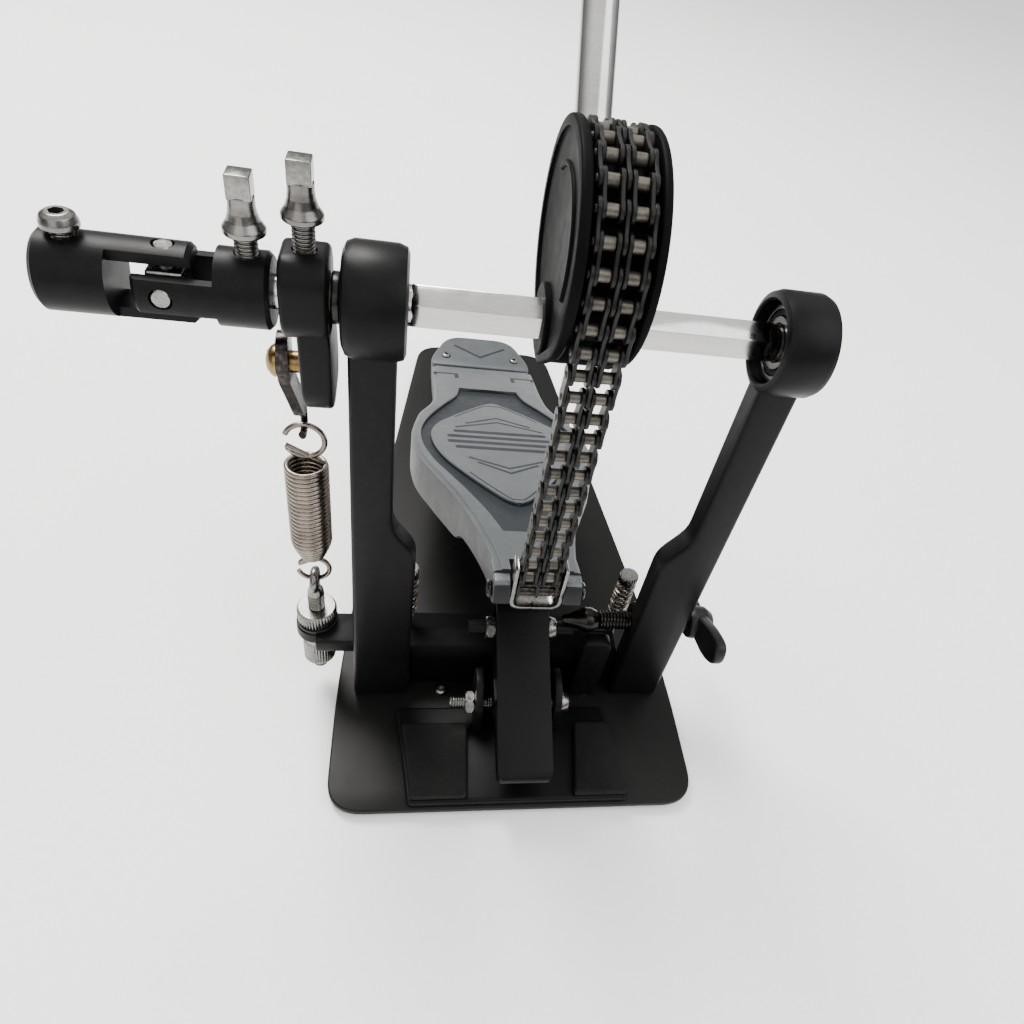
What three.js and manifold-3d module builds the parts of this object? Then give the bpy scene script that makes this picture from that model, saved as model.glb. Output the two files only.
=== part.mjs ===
// Bass drum pedal: a footboard pulls a duplex chain over an eccentric cam, the cam turns a
// hexagonal axle in two bearing posts, and the axle swings the beater and stretches a spring.
//
// Millimetres. +X runs along the axle, +Y points to the heel, +Z is up.
// The origin is on the floor, under the middle of the axle.

import * as THREE from 'three';
import { mergeVertices } from 'three/addons/utils/BufferGeometryUtils.js';
import Module from 'manifold-3d';

const wasm = await Module();
wasm.setup();

// ---------------------------------------------------------------- driving dimensions

const GAP = 0.3;                    // clearance between neighbouring pieces
const ROUND = 16;                    // sides of a plain round piece
const FINE = 24;                     // sides of a large round piece
const SMALL = 12;                    // sides of a screw or pin

const AXLE_HEIGHT = 172.5;
const HEX_FLATS = 10;               // across flats
const JOURNAL_RADIUS = 5;
const STUB_RADIUS = 4;
const STUB_END = -89.5;

const HOUSING_INNER = 47.2;         // distance from the middle plane to a housing's inner face
const HOUSING_LENGTH = 15.5;
const HOUSING_OUTER = HOUSING_INNER + HOUSING_LENGTH;
const HOUSING_RADIUS = 14;
const BEARING_RADIUS = 11;
const BEARING_WIDTH = 7;
const BEARING_RECESS = 3;           // depth of the bearing below the housing's inner face

const PLATE_BOTTOM = 2;             // the rubber pad fills the space below the base plate
const PLATE_TOP = 5;
const PLATE_FRONT = -52;
const PLATE_BACK = 248;
const PLATE_HALF_WIDTH = 68.5;
const PLATE_HEEL_HALF_WIDTH = 39;
const PLATE_TAPER_START = 15;

const POST_INNER = 49.4;
const POST_OUTER = 61.7;
const POST_HALF_DEPTH = 4.5;
const GUSSET_INNER = 41.4;
const GUSSET_TOP = 85.5;            // where the gusset starts to slope back into the post
const GUSSET_SHOULDER = 97;         // where it has run out

const PEDAL_CENTRE = -4.3;          // X of the footboard, the chain and the cam
const CHAIN_PITCH = 6.35;
const ROW_SPACING = 6.4;            // between the two rows of rollers
const CHAIN_HALF_WIDTH = 6.9;
const CHAIN_HALF_DEPTH = 2.6;
const FREE_PITCHES = 16;
const WRAPPED_PITCHES = 8;          // pitches that stay wrapped on the cam
const LINKS_PAID_OUT = 4;           // pitches that leave the cam over the full stroke

const CAM_RADIUS = 24.6;            // pitch radius of the chain on the cam
const CAM_RISE = 20;                // height of the cam's centre above the axle at rest
const CAM_FLANGE_RADIUS = 27;
const CAM_DRUM_RADIUS = 21.5;
const CAM_LEFT = -14.4;
const CAM_RIGHT = 5.2;
const CAM_HUB_RADIUS = 11;
const CHAIN_LEAN = THREE.MathUtils.degToRad(2.7);

const BEATER_LEAN = THREE.MathUtils.degToRad(50);   // rod above the horizontal, at rest
const BEATER_REACH = 178;           // axle to the middle of the beater head
const ROD_RADIUS = 4.75;
const ROD_START = 17;
const BOSS_END = 41;

const HINGE_Y = 204;
const HINGE_Z = 14;
const TOE_PIN_Y = -19.8;
const TOE_PIN_Z = 89.85;
const BOARD_LENGTH = Math.hypot(HINGE_Y - TOE_PIN_Y, TOE_PIN_Z - HINGE_Z);
const BOARD_SLOPE = Math.atan2(TOE_PIN_Z - HINGE_Z, HINGE_Y - TOE_PIN_Y);
const BOARD_TOP = 7;                // board surface above the line from hinge to toe pin

const CLAMP_PIVOT_Y = -16;
const CLAMP_PIVOT_Z = 18;
const CLAMP_HALF_WIDTH = 10;
const JAW_TOP = 12;
const WING_Y = 3;
const WING_Z = 46;

const SPRING_X = -75.2;
const SPRING_Y = 8;
const HANGER_PIVOT_DROP = 24.5;     // below the axle
const EYE_HEIGHT = 60;
const LUG_TOP = 37;
const LUG_BOTTOM = 31;

const YOKE_RIGHT = -78.2;
const CROSS_X = -101;
const YOKE_RADIUS = 9;

// ---------------------------------------------------------------- materials

function finish(name, color, roughness, metalness) {
  return new THREE.MeshStandardMaterial({ name, color, roughness, metalness });
}

const blackPaint = finish('black paint', 0x16181a, 0.42, 0.35);
const blackPlate = finish('black plate', 0x0f1011, 0.5, 0.4);
const blackPlastic = finish('black plastic', 0x121213, 0.55, 0);
const silverPaint = finish('silver paint', 0x8e9296, 0.4, 0.6);
const chrome = finish('chrome', 0xd4d4d0, 0.12, 1);
const nickel = finish('nickel', 0xb6b1a8, 0.25, 1);
const brass = finish('brass', 0xa8834a, 0.3, 1);
const rubber = finish('rubber', 0x101010, 0.85, 0);
const felt = finish('felt', 0xd9d4c6, 0.95, 0);
const chainSteel = finish('chain steel', 0x2a2a2b, 0.35, 0.9);

// ---------------------------------------------------------------- solids

// A closed geometry as a solid: vertices merged, collapsed triangles dropped, faces outwards.
function toSolid(geometry) {
  const bare = geometry.clone();
  bare.deleteAttribute('normal');
  bare.deleteAttribute('uv');
  const merged = mergeVertices(bare, 1e-4);
  const positions = merged.attributes.position.array;
  const index = merged.index.array;
  const triangles = [];
  let sixVolumes = 0;
  const corner = (i) => new THREE.Vector3().fromArray(positions, 3 * i);
  for (let i = 0; i < index.length; i += 3) {
    const [a, b, c] = [index[i], index[i + 1], index[i + 2]];
    if (a !== b && b !== c && c !== a) {
      triangles.push(a, b, c);
      sixVolumes += corner(a).dot(corner(b).cross(corner(c)));
    }
  }
  if (sixVolumes < 0) triangles.reverse();
  return new wasm.Manifold(new wasm.Mesh({
    numProp: 3,
    vertProperties: Float32Array.from(positions),
    triVerts: Uint32Array.from(triangles),
  }));
}

function toGeometry(solid) {
  const { vertProperties, triVerts } = solid.getMesh();
  const geometry = new THREE.BufferGeometry();
  geometry.setAttribute('position', new THREE.BufferAttribute(vertProperties, 3));
  geometry.setIndex(new THREE.BufferAttribute(triVerts, 1));
  geometry.computeVertexNormals();
  return geometry;
}

function join(first, ...others) {
  return others.reduce((whole, next) => whole.add(next), first);
}

function cut(whole, ...tools) {
  return tools.reduce((rest, tool) => rest.subtract(tool), whole);
}

function block(x0, x1, y0, y1, z0, z1) {
  const geometry = new THREE.BoxGeometry(x1 - x0, y1 - y0, z1 - z0);
  geometry.translate((x0 + x1) / 2, (y0 + y1) / 2, (z0 + z1) / 2);
  return toSolid(geometry);
}

// Turns a geometry built along +Y so that it runs along the named axis, then moves it.
// The two offsets are along the other two axes, in X, Y, Z order.
function alignTo(axis, geometry, a, b) {
  if (axis === 'x') return geometry.rotateZ(-Math.PI / 2).translate(0, a, b);
  if (axis === 'z') return geometry.rotateX(Math.PI / 2).translate(a, b, 0);
  return geometry.translate(a, 0, b);
}

function rod(axis, radius, from, to, a = 0, b = 0, sides = ROUND, radiusTo = radius) {
  const geometry = new THREE.CylinderGeometry(radiusTo, radius, to - from, sides);
  geometry.translate(0, (from + to) / 2, 0);
  return toSolid(alignTo(axis, geometry, a, b));
}

// A turned piece. Each profile point is [radius, distance along the axis].
function turned(axis, profile, a = 0, b = 0, sides = ROUND) {
  const points = profile.map(([radius, along]) => new THREE.Vector2(radius, along));
  return toSolid(alignTo(axis, new THREE.LatheGeometry(points, sides), a, b));
}

// A ring with a round section of radius wire, in the plane across the named axis.
function ring(axis, radius, wire, along, a, b, sides = ROUND) {
  const section = 6;
  const points = [];
  for (let i = 0; i <= section; i += 1) {
    const angle = (i / section) * 2 * Math.PI;
    points.push([radius + wire * Math.cos(angle), along + wire * Math.sin(angle)]);
  }
  points[section] = points[0];
  return turned(axis, points, a, b, sides);
}

// A closed outline whose corners are rounded; a third number gives a corner its own radius.
function rounded(points, radius) {
  const shape = new THREE.Shape();
  points.forEach((point, i) => {
    const here = new THREE.Vector2(point[0], point[1]);
    const before = new THREE.Vector2(...points[(i + points.length - 1) % points.length]);
    const after = new THREE.Vector2(...points[(i + 1) % points.length]);
    const reach = point[2] ?? radius;
    const entry = before.sub(here);
    const exit = after.sub(here);
    entry.setLength(Math.min(reach, entry.length() / 2)).add(here);
    exit.setLength(Math.min(reach, exit.length() / 2)).add(here);
    if (i === 0) shape.moveTo(entry.x, entry.y);
    else shape.lineTo(entry.x, entry.y);
    shape.quadraticCurveTo(here.x, here.y, exit.x, exit.y);
  });
  shape.closePath();
  return shape;
}

function outlineOf(points) {
  return new THREE.Shape(points.map(([u, v]) => new THREE.Vector2(u, v)));
}

// A plate with the given outline, from one distance to another along the named axis.
// The outline's coordinates are the other two axes, in X, Y, Z order.
function slab(axis, outline, from, to, bevel = 0, curveSegments = 3) {
  const geometry = new THREE.ExtrudeGeometry(outline, {
    depth: to - from - 2 * bevel,
    curveSegments,
    bevelEnabled: bevel > 0,
    bevelSegments: 1,
    bevelSize: bevel,
    bevelOffset: -bevel,
    bevelThickness: bevel,
  });
  geometry.translate(0, 0, bevel);
  const [x, y, z] = [new THREE.Vector3(1, 0, 0), new THREE.Vector3(0, 1, 0), new THREE.Vector3(0, 0, 1)];
  const turn = new THREE.Matrix4();
  if (axis === 'x') turn.makeBasis(y, z, x).setPosition(from, 0, 0);
  if (axis === 'y') turn.makeBasis(x, z, y.clone().negate()).setPosition(0, to, 0);
  if (axis === 'z') turn.setPosition(0, 0, from);
  geometry.applyMatrix4(turn);
  return toSolid(geometry);
}

// A hexagonal bar along X; the flats across are given.
function hexBar(flats, from, to, y = 0, z = 0) {
  return rod('x', flats / Math.sqrt(3), from, to, y, z, 6);
}

const pedal = new THREE.Group();

function place(x, y, z, parent = pedal) {
  const group = new THREE.Group();
  group.position.set(x, y, z);
  parent.add(group);
  return group;
}

function part(name, material, solid, parent = pedal) {
  const mesh = new THREE.Mesh(toGeometry(solid), material);
  mesh.name = name;
  parent.add(mesh);
}

// ---------------------------------------------------------------- base

function plateOutline(inset) {
  const front = PLATE_FRONT + inset;
  const back = PLATE_BACK - inset;
  const half = PLATE_HALF_WIDTH - inset;
  const heel = PLATE_HEEL_HALF_WIDTH - inset;
  return rounded([
    [-half, front, 13], [half, front, 13], [half, PLATE_TAPER_START, 40],
    [heel, back, 14], [-heel, back, 14], [-half, PLATE_TAPER_START, 40],
  ], 10);
}

const SPUR_X = 43;
const SPUR_Y = 20;

function spurHoles(radius) {
  return [-1, 1].map((side) => rod('z', radius, -1, 40, side * SPUR_X, SPUR_Y, SMALL));
}

function addBase() {
  part('rubber_pad', rubber, cut(slab('z', plateOutline(2.5), 0, PLATE_BOTTOM), ...spurHoles(5)));
  part('base_plate', blackPlate, cut(slab('z', plateOutline(0), PLATE_BOTTOM, PLATE_TOP), ...spurHoles(4)));

  const crossMember = slab('x', rounded([
    [1, PLATE_TOP], [27, PLATE_TOP], [27, 18], [14, 24], [13, 27], [3, 27], [1, 24],
  ], 1.5), -GUSSET_INNER + GAP, GUSSET_INNER - GAP);
  const lug = (side) => rod('z', 7, 19, 25, side * SPUR_X, SPUR_Y, ROUND)
    .add(block(Math.min(side * 30, side * SPUR_X), Math.max(side * 30, side * SPUR_X), 13, 27, 19, 25));
  part('frame_bridge', blackPaint, cut(join(crossMember, lug(-1), lug(1)), ...spurHoles(2.6)));
}

// One upright with its bearing housing. Side is -1 on the left and +1 on the right.
function post(side) {
  const foot = PLATE_TOP;
  const outline = [
    [side * POST_OUTER, AXLE_HEIGHT - 6], [side * POST_OUTER, foot],
    [side * GUSSET_INNER, foot], [side * GUSSET_INNER, GUSSET_TOP],
    [side * POST_INNER, GUSSET_SHOULDER], [side * POST_INNER, AXLE_HEIGHT - 6],
  ];
  const upright = slab('y', outlineOf(outline), -POST_HALF_DEPTH, POST_HALF_DEPTH, 1.5);
  const chamfer = 1.5;
  const housing = turned('x', [
    [0, side * HOUSING_INNER], [HOUSING_RADIUS - chamfer, side * HOUSING_INNER],
    [HOUSING_RADIUS, side * (HOUSING_INNER + chamfer)], [HOUSING_RADIUS, side * (HOUSING_OUTER - chamfer)],
    [HOUSING_RADIUS - chamfer, side * HOUSING_OUTER], [0, side * HOUSING_OUTER],
  ], 0, AXLE_HEIGHT, FINE);
  const seat = [side * (HOUSING_INNER - 1), side * (HOUSING_INNER + BEARING_RECESS + BEARING_WIDTH + 1)];
  const bore = rod('x', BEARING_RADIUS + 0.05, Math.min(...seat), Math.max(...seat), 0, AXLE_HEIGHT, FINE);
  return cut(join(upright, housing), bore);
}

function addPosts() {
  const through = rod('x', 7.5, -HOUSING_OUTER - 1, -HOUSING_INNER, 0, AXLE_HEIGHT);
  const lug = join(
    rod('z', 7.5, LUG_BOTTOM, LUG_TOP, SPRING_X, SPRING_Y),
    block(SPRING_X, -POST_OUTER + 3, -2.8, SPRING_Y + 3, LUG_BOTTOM, LUG_TOP),
  );
  const lugHole = rod('z', 3.4, LUG_BOTTOM - 1, LUG_TOP + 1, SPRING_X, SPRING_Y);
  part('left_post', blackPaint, cut(join(post(-1), lug), through, lugHole));

  const journalRoom = rod('x', 6, HOUSING_INNER, HOUSING_OUTER - 2, 0, AXLE_HEIGHT);
  const wingBoss = rod('x', 7.4, GUSSET_INNER + 1, POST_OUTER - 1, WING_Y, WING_Z, FINE);
  const wingHole = rod('x', 4.4, GUSSET_INNER - 1, POST_OUTER + 1, WING_Y, WING_Z);
  part('right_post', blackPaint, cut(join(post(1), wingBoss), journalRoom, wingHole));
}

function addBearings() {
  const near = HOUSING_INNER + BEARING_RECESS;
  const far = near + BEARING_WIDTH;
  for (const [label, side] of [['left', -1], ['right', 1]]) {
    const [from, to] = [Math.min(side * near, side * far), Math.max(side * near, side * far)];
    const race = (outer, inner) => turned('x', [
      [inner, from], [outer, from], [outer, to], [inner, to], [inner, from],
    ], 0, AXLE_HEIGHT, FINE);
    part(`${label}_bearing_outer_race`, chrome, race(BEARING_RADIUS - 0.05, 9));
    part(`${label}_bearing_inner_race`, chrome, race(7, JOURNAL_RADIUS + 0.05));
  }
}

// Lined jaws that carry the drum hoop, on a low block at the front of the base.
function addJaws() {
  part('jaw_block', blackPaint, slab('z', rounded([
    [-45.5, -12], [-40.5, -51], [41.5, -51], [36.5, -12],
  ], 2), PLATE_TOP, JAW_TOP - 4));
  const padBottom = JAW_TOP - 4;
  part('left_jaw_pad', rubber, slab('z', rounded([
    [-43.2, -21], [-39.5, -50], [-19.5, -50], [-18.7, -21],
  ], 1.5), padBottom, JAW_TOP));
  part('right_jaw_pad', rubber, slab('z', rounded([
    [36.2, -21], [40.5, -50], [20, -50], [23.2, -21],
  ], 1.5), padBottom, JAW_TOP));
}

// ---------------------------------------------------------------- hoop clamp

function addClampBracket() {
  const earOutline = rounded([
    [-24, JAW_TOP - 4], [-8, JAW_TOP - 4], [-4, 18], [-6, 28], [-14, 29], [-22, 23],
  ], 3);
  const pivotHole = (x) => rod('x', 2.75, x - 5, x + 5, CLAMP_PIVOT_Y, CLAMP_PIVOT_Z, SMALL);
  for (const [label, x] of [['left', -15], ['right', 15]]) {
    const ear = slab('x', earOutline, x - 1.5, x + 1.5);
    part(`${label}_clamp_ear`, blackPaint, cut(ear, pivotHole(x)));
  }
}

function hexNut(flats, from, to, bore) {
  return cut(hexBar(flats, from, to), rod('x', bore, from - 1, to + 1, 0, 0, SMALL));
}

function addClampArm() {
  const arm = place(0, CLAMP_PIVOT_Y, CLAMP_PIVOT_Z);
  const lever = slab('x', rounded([
    [-34, 1], [-34.5, 4.2], [-31.5, 6.3], [-4, 17.5], [22, 29], [29, 29],
    [30, 23], [24, 17], [8, 8.5], [-8, 6.5], [-31, 0.5],
  ], 1.2), -CLAMP_HALF_WIDTH, CLAMP_HALF_WIDTH, 0.9, 2);
  const boss = rod('x', 6, -CLAMP_HALF_WIDTH, CLAMP_HALF_WIDTH);
  const web = block(-CLAMP_HALF_WIDTH, CLAMP_HALF_WIDTH, -5, 5, 0, 9);
  const pivotHole = rod('x', 2.75, -20, 20, 0, 0, SMALL);
  const tailHole = rod('x', 2.75, -20, 20, 19, 22, SMALL);
  part('clamp_arm', blackPaint, cut(join(lever, boss, web), pivotHole, tailHole), arm);
  part('clamp_arm_pad', rubber, slab('z', rounded([
    [-9, -33], [9, -33], [9, -26], [-9, -26],
  ], 1), -0.9, 0.3), arm);

  part('clamp_pivot_bolt', nickel, join(
    rod('x', 2.5, -25.8, 17, 0, 0, SMALL),
    turned('x', [[0, 16.7], [5, 16.7], [5, 18], [3.6, 20.4], [0, 20.4]]),
  ), arm);
  part('clamp_pivot_nut', nickel, hexNut(8, -20, -16.7, 2.55), arm);

  const tail = place(0, 19, 22, arm);
  part('clamp_tail_bolt', nickel, join(
    rod('x', 2.5, -15, 12, 0, 0, SMALL),
    turned('x', [[0, 10.2], [4.2, 10.2], [4.2, 12], [3, 13.8], [0, 13.8]]),
  ), tail);
  part('clamp_tail_nut', nickel, hexNut(8, -13.6, -10.2, 2.55), tail);
}

// A wing screw whose swivelling cone presses the tail of the clamp arm up.
function addClampScrew() {
  part('clamp_screw_guide', blackPaint, slab('y', rounded([
    [24, PLATE_TOP], [35, PLATE_TOP], [35, 39], [33, 41], [24, 41],
  ], 0.6), -5, 0.7));

  const screw = place(0, WING_Y, WING_Z);
  part('clamp_cone', chrome, turned('x', [
    [0, 14.6], [1.6, 15], [2.4, 18], [4.8, 23.5], [4.8, 26], [3.4, 28.8], [0, 28.8],
  ]), screw);

  const shaft = rod('x', 3.6, 29.2, 70, 0, 0, SMALL);
  const hub = turned('x', [[0, 65], [6, 65], [6.6, 67], [6.2, 72], [4, 75], [0, 75]]);
  const wing = (sign) => slab('x', rounded([
    [sign * 2, -5], [sign * 14, -6.5, 4], [sign * 25, -4, 7], [sign * 26, 6, 6], [sign * 15, 6.5, 4], [sign * 2, 5],
  ], 2), 67.5, 72, 1);
  const wings = join(wing(-1), wing(1)).rotate([-20, 0, 0]);
  part('wing_screw', blackPlastic, join(shaft, hub, wings), screw);
}

// Spring-loaded floor spurs behind the posts.
function addSpurs() {
  for (const [label, side] of [['left', -1], ['right', 1]]) {
    const spur = place(side * SPUR_X, SPUR_Y, 0);
    part(`${label}_spur_screw`, nickel, turned('z', [
      [0, 1], [2.3, 6], [2.3, 49], [3.4, 49], [3.8, 49.8], [3.8, 53], [3.2, 53.8], [0, 53.8],
    ], 0, 0, SMALL), spur);
    part(`${label}_spur_spring`, nickel, turned('z', [
      [2.6, 25.4], [4, 25.4], [4, 48.6], [2.6, 48.6], [2.6, 25.4],
    ], 0, 0, SMALL), spur);
  }
}

// ---------------------------------------------------------------- axle and its pieces

const axleGroup = place(0, 0, AXLE_HEIGHT);

function addAxle() {
  part('axle', chrome, join(
    hexBar(HEX_FLATS, -HOUSING_INNER + 0.6, HOUSING_INNER - 0.6),
    rod('x', JOURNAL_RADIUS, -HOUSING_OUTER - 1.4, HOUSING_OUTER - 4),
    rod('x', STUB_RADIUS, STUB_END, 0),
  ), axleGroup);
}

// The drum-key bolt of the spring rocker and the yoke: a thread from foot to seat along Z,
// a bell-shaped flange that stands on the seat and a square head.
function keyBolt(x, foot, seat) {
  return join(
    rod('z', 2.6, foot, seat + 0.4, x, 0, SMALL),
    turned('z', [
      [0, seat], [4.7, seat], [4.7, seat + 1.6], [4.2, seat + 2.2],
      [2.9, seat + 6.4], [2.9, seat + 8.4], [0, seat + 8.4],
    ], x, 0),
    block(x - 2.7, x + 2.7, -2.7, 2.7, seat + 7.9, seat + 13.4),
  );
}

function addRocker() {
  const left = -76.3;
  const right = -65.4;
  const hub = slab('x', rounded([
    [-9.4, -5], [-9.4, 7], [-6, 11.4], [6, 11.4], [9.4, 7], [9.4, -5], [5, -9.4], [-5, -9.4],
  ], 3), left, right, 0.8);
  const lever = slab('x', rounded([
    [-8, 0], [-6, -28], [0, -33.5], [14, -31], [15, -22], [8, 0],
  ], 4), left + 3.2, right, 0.8);
  const bore = rod('x', STUB_RADIUS + 0.05, left - 1, right + 1);
  const boltHole = rod('z', 2.9, 6, 14, (left + right) / 2, 0, SMALL);
  part('spring_rocker', blackPaint, cut(join(hub, lever), bore, boltHole), axleGroup);
  part('rocker_key_bolt', nickel, keyBolt((left + right) / 2, 7, 18.2), axleGroup);
  part('axle_collar', chrome, turned('x', [
    [STUB_RADIUS + 1.1, right + GAP], [6.2, right + GAP], [6.2, -HOUSING_OUTER - GAP],
    [STUB_RADIUS + 1.1, -HOUSING_OUTER - GAP], [STUB_RADIUS + 1.1, right + GAP],
  ]), axleGroup);
}

// Straight teeth around a nut or knob, cut between two radii.
function knurled(axis, inner, outer, bore, from, to, teeth) {
  const points = [];
  for (let i = 0; i < 2 * teeth; i += 1) {
    const angle = (i / teeth) * Math.PI;
    const radius = i % 2 === 0 ? outer : inner;
    points.push([radius * Math.cos(angle), radius * Math.sin(angle)]);
  }
  const body = slab(axis, outlineOf(points), from, to, 0);
  return cut(body, rod(axis, bore, from - 1, to + 1, 0, 0, SMALL));
}

function addCam() {
  const centre = PEDAL_CENTRE;
  const inner = CHAIN_HALF_WIDTH + 0.6;
  const disc = (radius, from, to) => rod('x', radius, from, to, 0, CAM_RISE, FINE);
  const flange = (from, to) => slab('x', rounded([
    [-CAM_HUB_RADIUS, 2], [-9, -8, 6], [0, -CAM_HUB_RADIUS, 6], [9, -8, 6], [CAM_HUB_RADIUS, 2],
    [20, CAM_RISE], [-20, CAM_RISE],
  ], 2), from, to).add(disc(CAM_FLANGE_RADIUS, from, to));
  const hub = rod('x', CAM_HUB_RADIUS, CAM_LEFT, CAM_RIGHT - 1.5, 0, 0, FINE);
  const body = join(
    flange(CAM_LEFT, centre - inner), flange(centre + inner, CAM_RIGHT),
    disc(CAM_DRUM_RADIUS, CAM_LEFT + 1, CAM_RIGHT - 1), hub,
  );
  const lean = new THREE.Matrix4().makeRotationX(BEATER_LEAN);
  const boss = rod('y', 8.2, 12, BOSS_END, centre, 0).transform(lean.elements);
  const rodHole = rod('y', ROD_RADIUS + 0.1, ROD_START - 0.5, BOSS_END + 1, centre, 0).transform(lean.elements);
  const boltHole = rod('z', 2.9, -10, 0, centre, BOSS_END - 6, SMALL).transform(lean.elements);
  const hexHole = hexBar(HEX_FLATS + 0.1, CAM_LEFT - 1, CAM_RIGHT + 1);
  part('cam', blackPaint, cut(join(body, boss), rodHole, boltHole, hexHole), axleGroup);

  const beater = place(centre, 0, 0, axleGroup);
  beater.rotation.x = BEATER_LEAN;
  part('beater_lock_bolt', nickel, join(
    rod('z', 2.6, -12, -ROD_RADIUS - 0.1, 0, BOSS_END - 6, SMALL),
    turned('z', [[0, -16], [2.9, -16], [2.9, -12.6], [4.6, -9.6], [4.6, -8.6], [0, -8.6]], 0, BOSS_END - 6),
  ), beater);
  part('beater_rod', chrome, turned('y', [
    [0, ROD_START], [ROD_RADIUS - 0.6, ROD_START], [ROD_RADIUS, ROD_START + 0.6],
    [ROD_RADIUS, BEATER_REACH - 19.5], [ROD_RADIUS - 0.8, BEATER_REACH - 18.7], [0, BEATER_REACH - 18.7],
  ]), beater);

  // The head lies across the rod, with its striking face towards the drum.
  const face = [[0, 24], [16, 23.4], [21.5, 21.5], [24, 17], [24, -14], [21, -18.5], [0, -18.5]];
  const head = turned('z', face, 0, BEATER_REACH, FINE);
  const socket = rod('y', ROD_RADIUS + 0.3, BEATER_REACH - 30, BEATER_REACH - 18, 0, 0);
  part('beater_head', felt, cut(head, socket), beater);
  part('beater_back_cap', blackPlastic, turned('z', [
    [0, -23.5], [11, -23.5], [14, -22], [16, -18.8], [0, -18.8],
  ], 0, BEATER_REACH, FINE), beater);
}

// ---------------------------------------------------------------- chain

// Pins of the chain in the axle's frame, as [y, z]: up the cam from the tangent point.
const tangentAngle = Math.PI + CHAIN_LEAN;
const pinStep = 2 * Math.asin(CHAIN_PITCH / (2 * CAM_RADIUS));

function wrappedPin(index) {
  const angle = tangentAngle - index * pinStep;
  return [CAM_RADIUS * Math.cos(angle), CAM_RISE + CAM_RADIUS * Math.sin(angle)];
}

// Points along a half circle, from one angle to another.
function halfRound([y, z], radius, start) {
  const points = [];
  const steps = 6;
  for (let i = 0; i <= steps; i += 1) {
    const angle = start + (i / steps) * Math.PI;
    points.push([y + radius * Math.cos(angle), z + radius * Math.sin(angle)]);
  }
  return points;
}

// A straight plate with round ends between two points.
function strap(from, to, radius, x0, x1) {
  const along = Math.atan2(to[1] - from[1], to[0] - from[0]);
  const points = [
    ...halfRound(from, radius, along + Math.PI / 2),
    ...halfRound(to, radius, along - Math.PI / 2),
  ];
  return slab('x', outlineOf(points), x0, x1);
}

const TONGUE_HALF_WIDTH = 2.4;
const TONGUE_RADIUS = 2;
const CHEEK_GAP = 0.35;

function tongue(from, to) {
  return strap(from, to, TONGUE_RADIUS, PEDAL_CENTRE - TONGUE_HALF_WIDTH, PEDAL_CENTRE + TONGUE_HALF_WIDTH);
}

// Two side plates, joined by a web over the middle part of the link.
function cheeks(from, to, webFrom, webTo) {
  const inner = TONGUE_HALF_WIDTH + CHEEK_GAP;
  const between = (t) => [from[0] + t * (to[0] - from[0]), from[1] + t * (to[1] - from[1])];
  return join(
    strap(from, to, CHAIN_HALF_DEPTH, PEDAL_CENTRE - CHAIN_HALF_WIDTH, PEDAL_CENTRE - inner),
    strap(from, to, CHAIN_HALF_DEPTH, PEDAL_CENTRE + inner, PEDAL_CENTRE + CHAIN_HALF_WIDTH),
    strap(between(webFrom), between(webTo), 0.8, PEDAL_CENTRE - inner - 1, PEDAL_CENTRE + inner + 1),
  );
}

function addChain() {
  // The wrapped stretch follows the cam and ends in a tongue at the first moving pin.
  const firstMoving = LINKS_PAID_OUT;
  let wrapped = tongue(wrappedPin(firstMoving), wrappedPin(firstMoving + 1));
  for (let i = firstMoving + 1; i < WRAPPED_PITCHES; i += 1) {
    const plate = strap(wrappedPin(i), wrappedPin(i + 1), CHAIN_HALF_DEPTH - 0.2,
      PEDAL_CENTRE - CHAIN_HALF_WIDTH, PEDAL_CENTRE + CHAIN_HALF_WIDTH);
    wrapped = wrapped.add(plate);
  }
  part('chain_wrapped', chainSteel, wrapped, axleGroup);

  for (let i = firstMoving; i > 0; i -= 1) {
    const [from, to] = [wrappedPin(i), wrappedPin(i - 1)];
    const link = (firstMoving - i) % 2 === 0 ? cheeks(from, to, 0.46, 0.54) : tongue(from, to);
    part(`chain_link_${firstMoving - i + 1}`, chainSteel, link, axleGroup);
  }

  const top = wrappedPin(0);
  const length = FREE_PITCHES * CHAIN_PITCH;
  const down = (distance) => [
    top[0] + distance * Math.sin(CHAIN_LEAN), top[1] - distance * Math.cos(CHAIN_LEAN),
  ];
  const stripEnd = length - 5;
  const sides = cheeks(top, down(length), 3.1 / length, stripEnd / length);
  const strip = strap(down(5.6), down(stripEnd), CHAIN_HALF_DEPTH - 0.2,
    PEDAL_CENTRE - CHAIN_HALF_WIDTH + 0.2, PEDAL_CENTRE + CHAIN_HALF_WIDTH - 0.2);
  const pinHole = rod('x', 2, -20, 20, ...down(length), SMALL);
  part('chain_free', chainSteel, cut(join(sides, strip), pinHole), axleGroup);
}

// ---------------------------------------------------------------- spring

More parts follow.
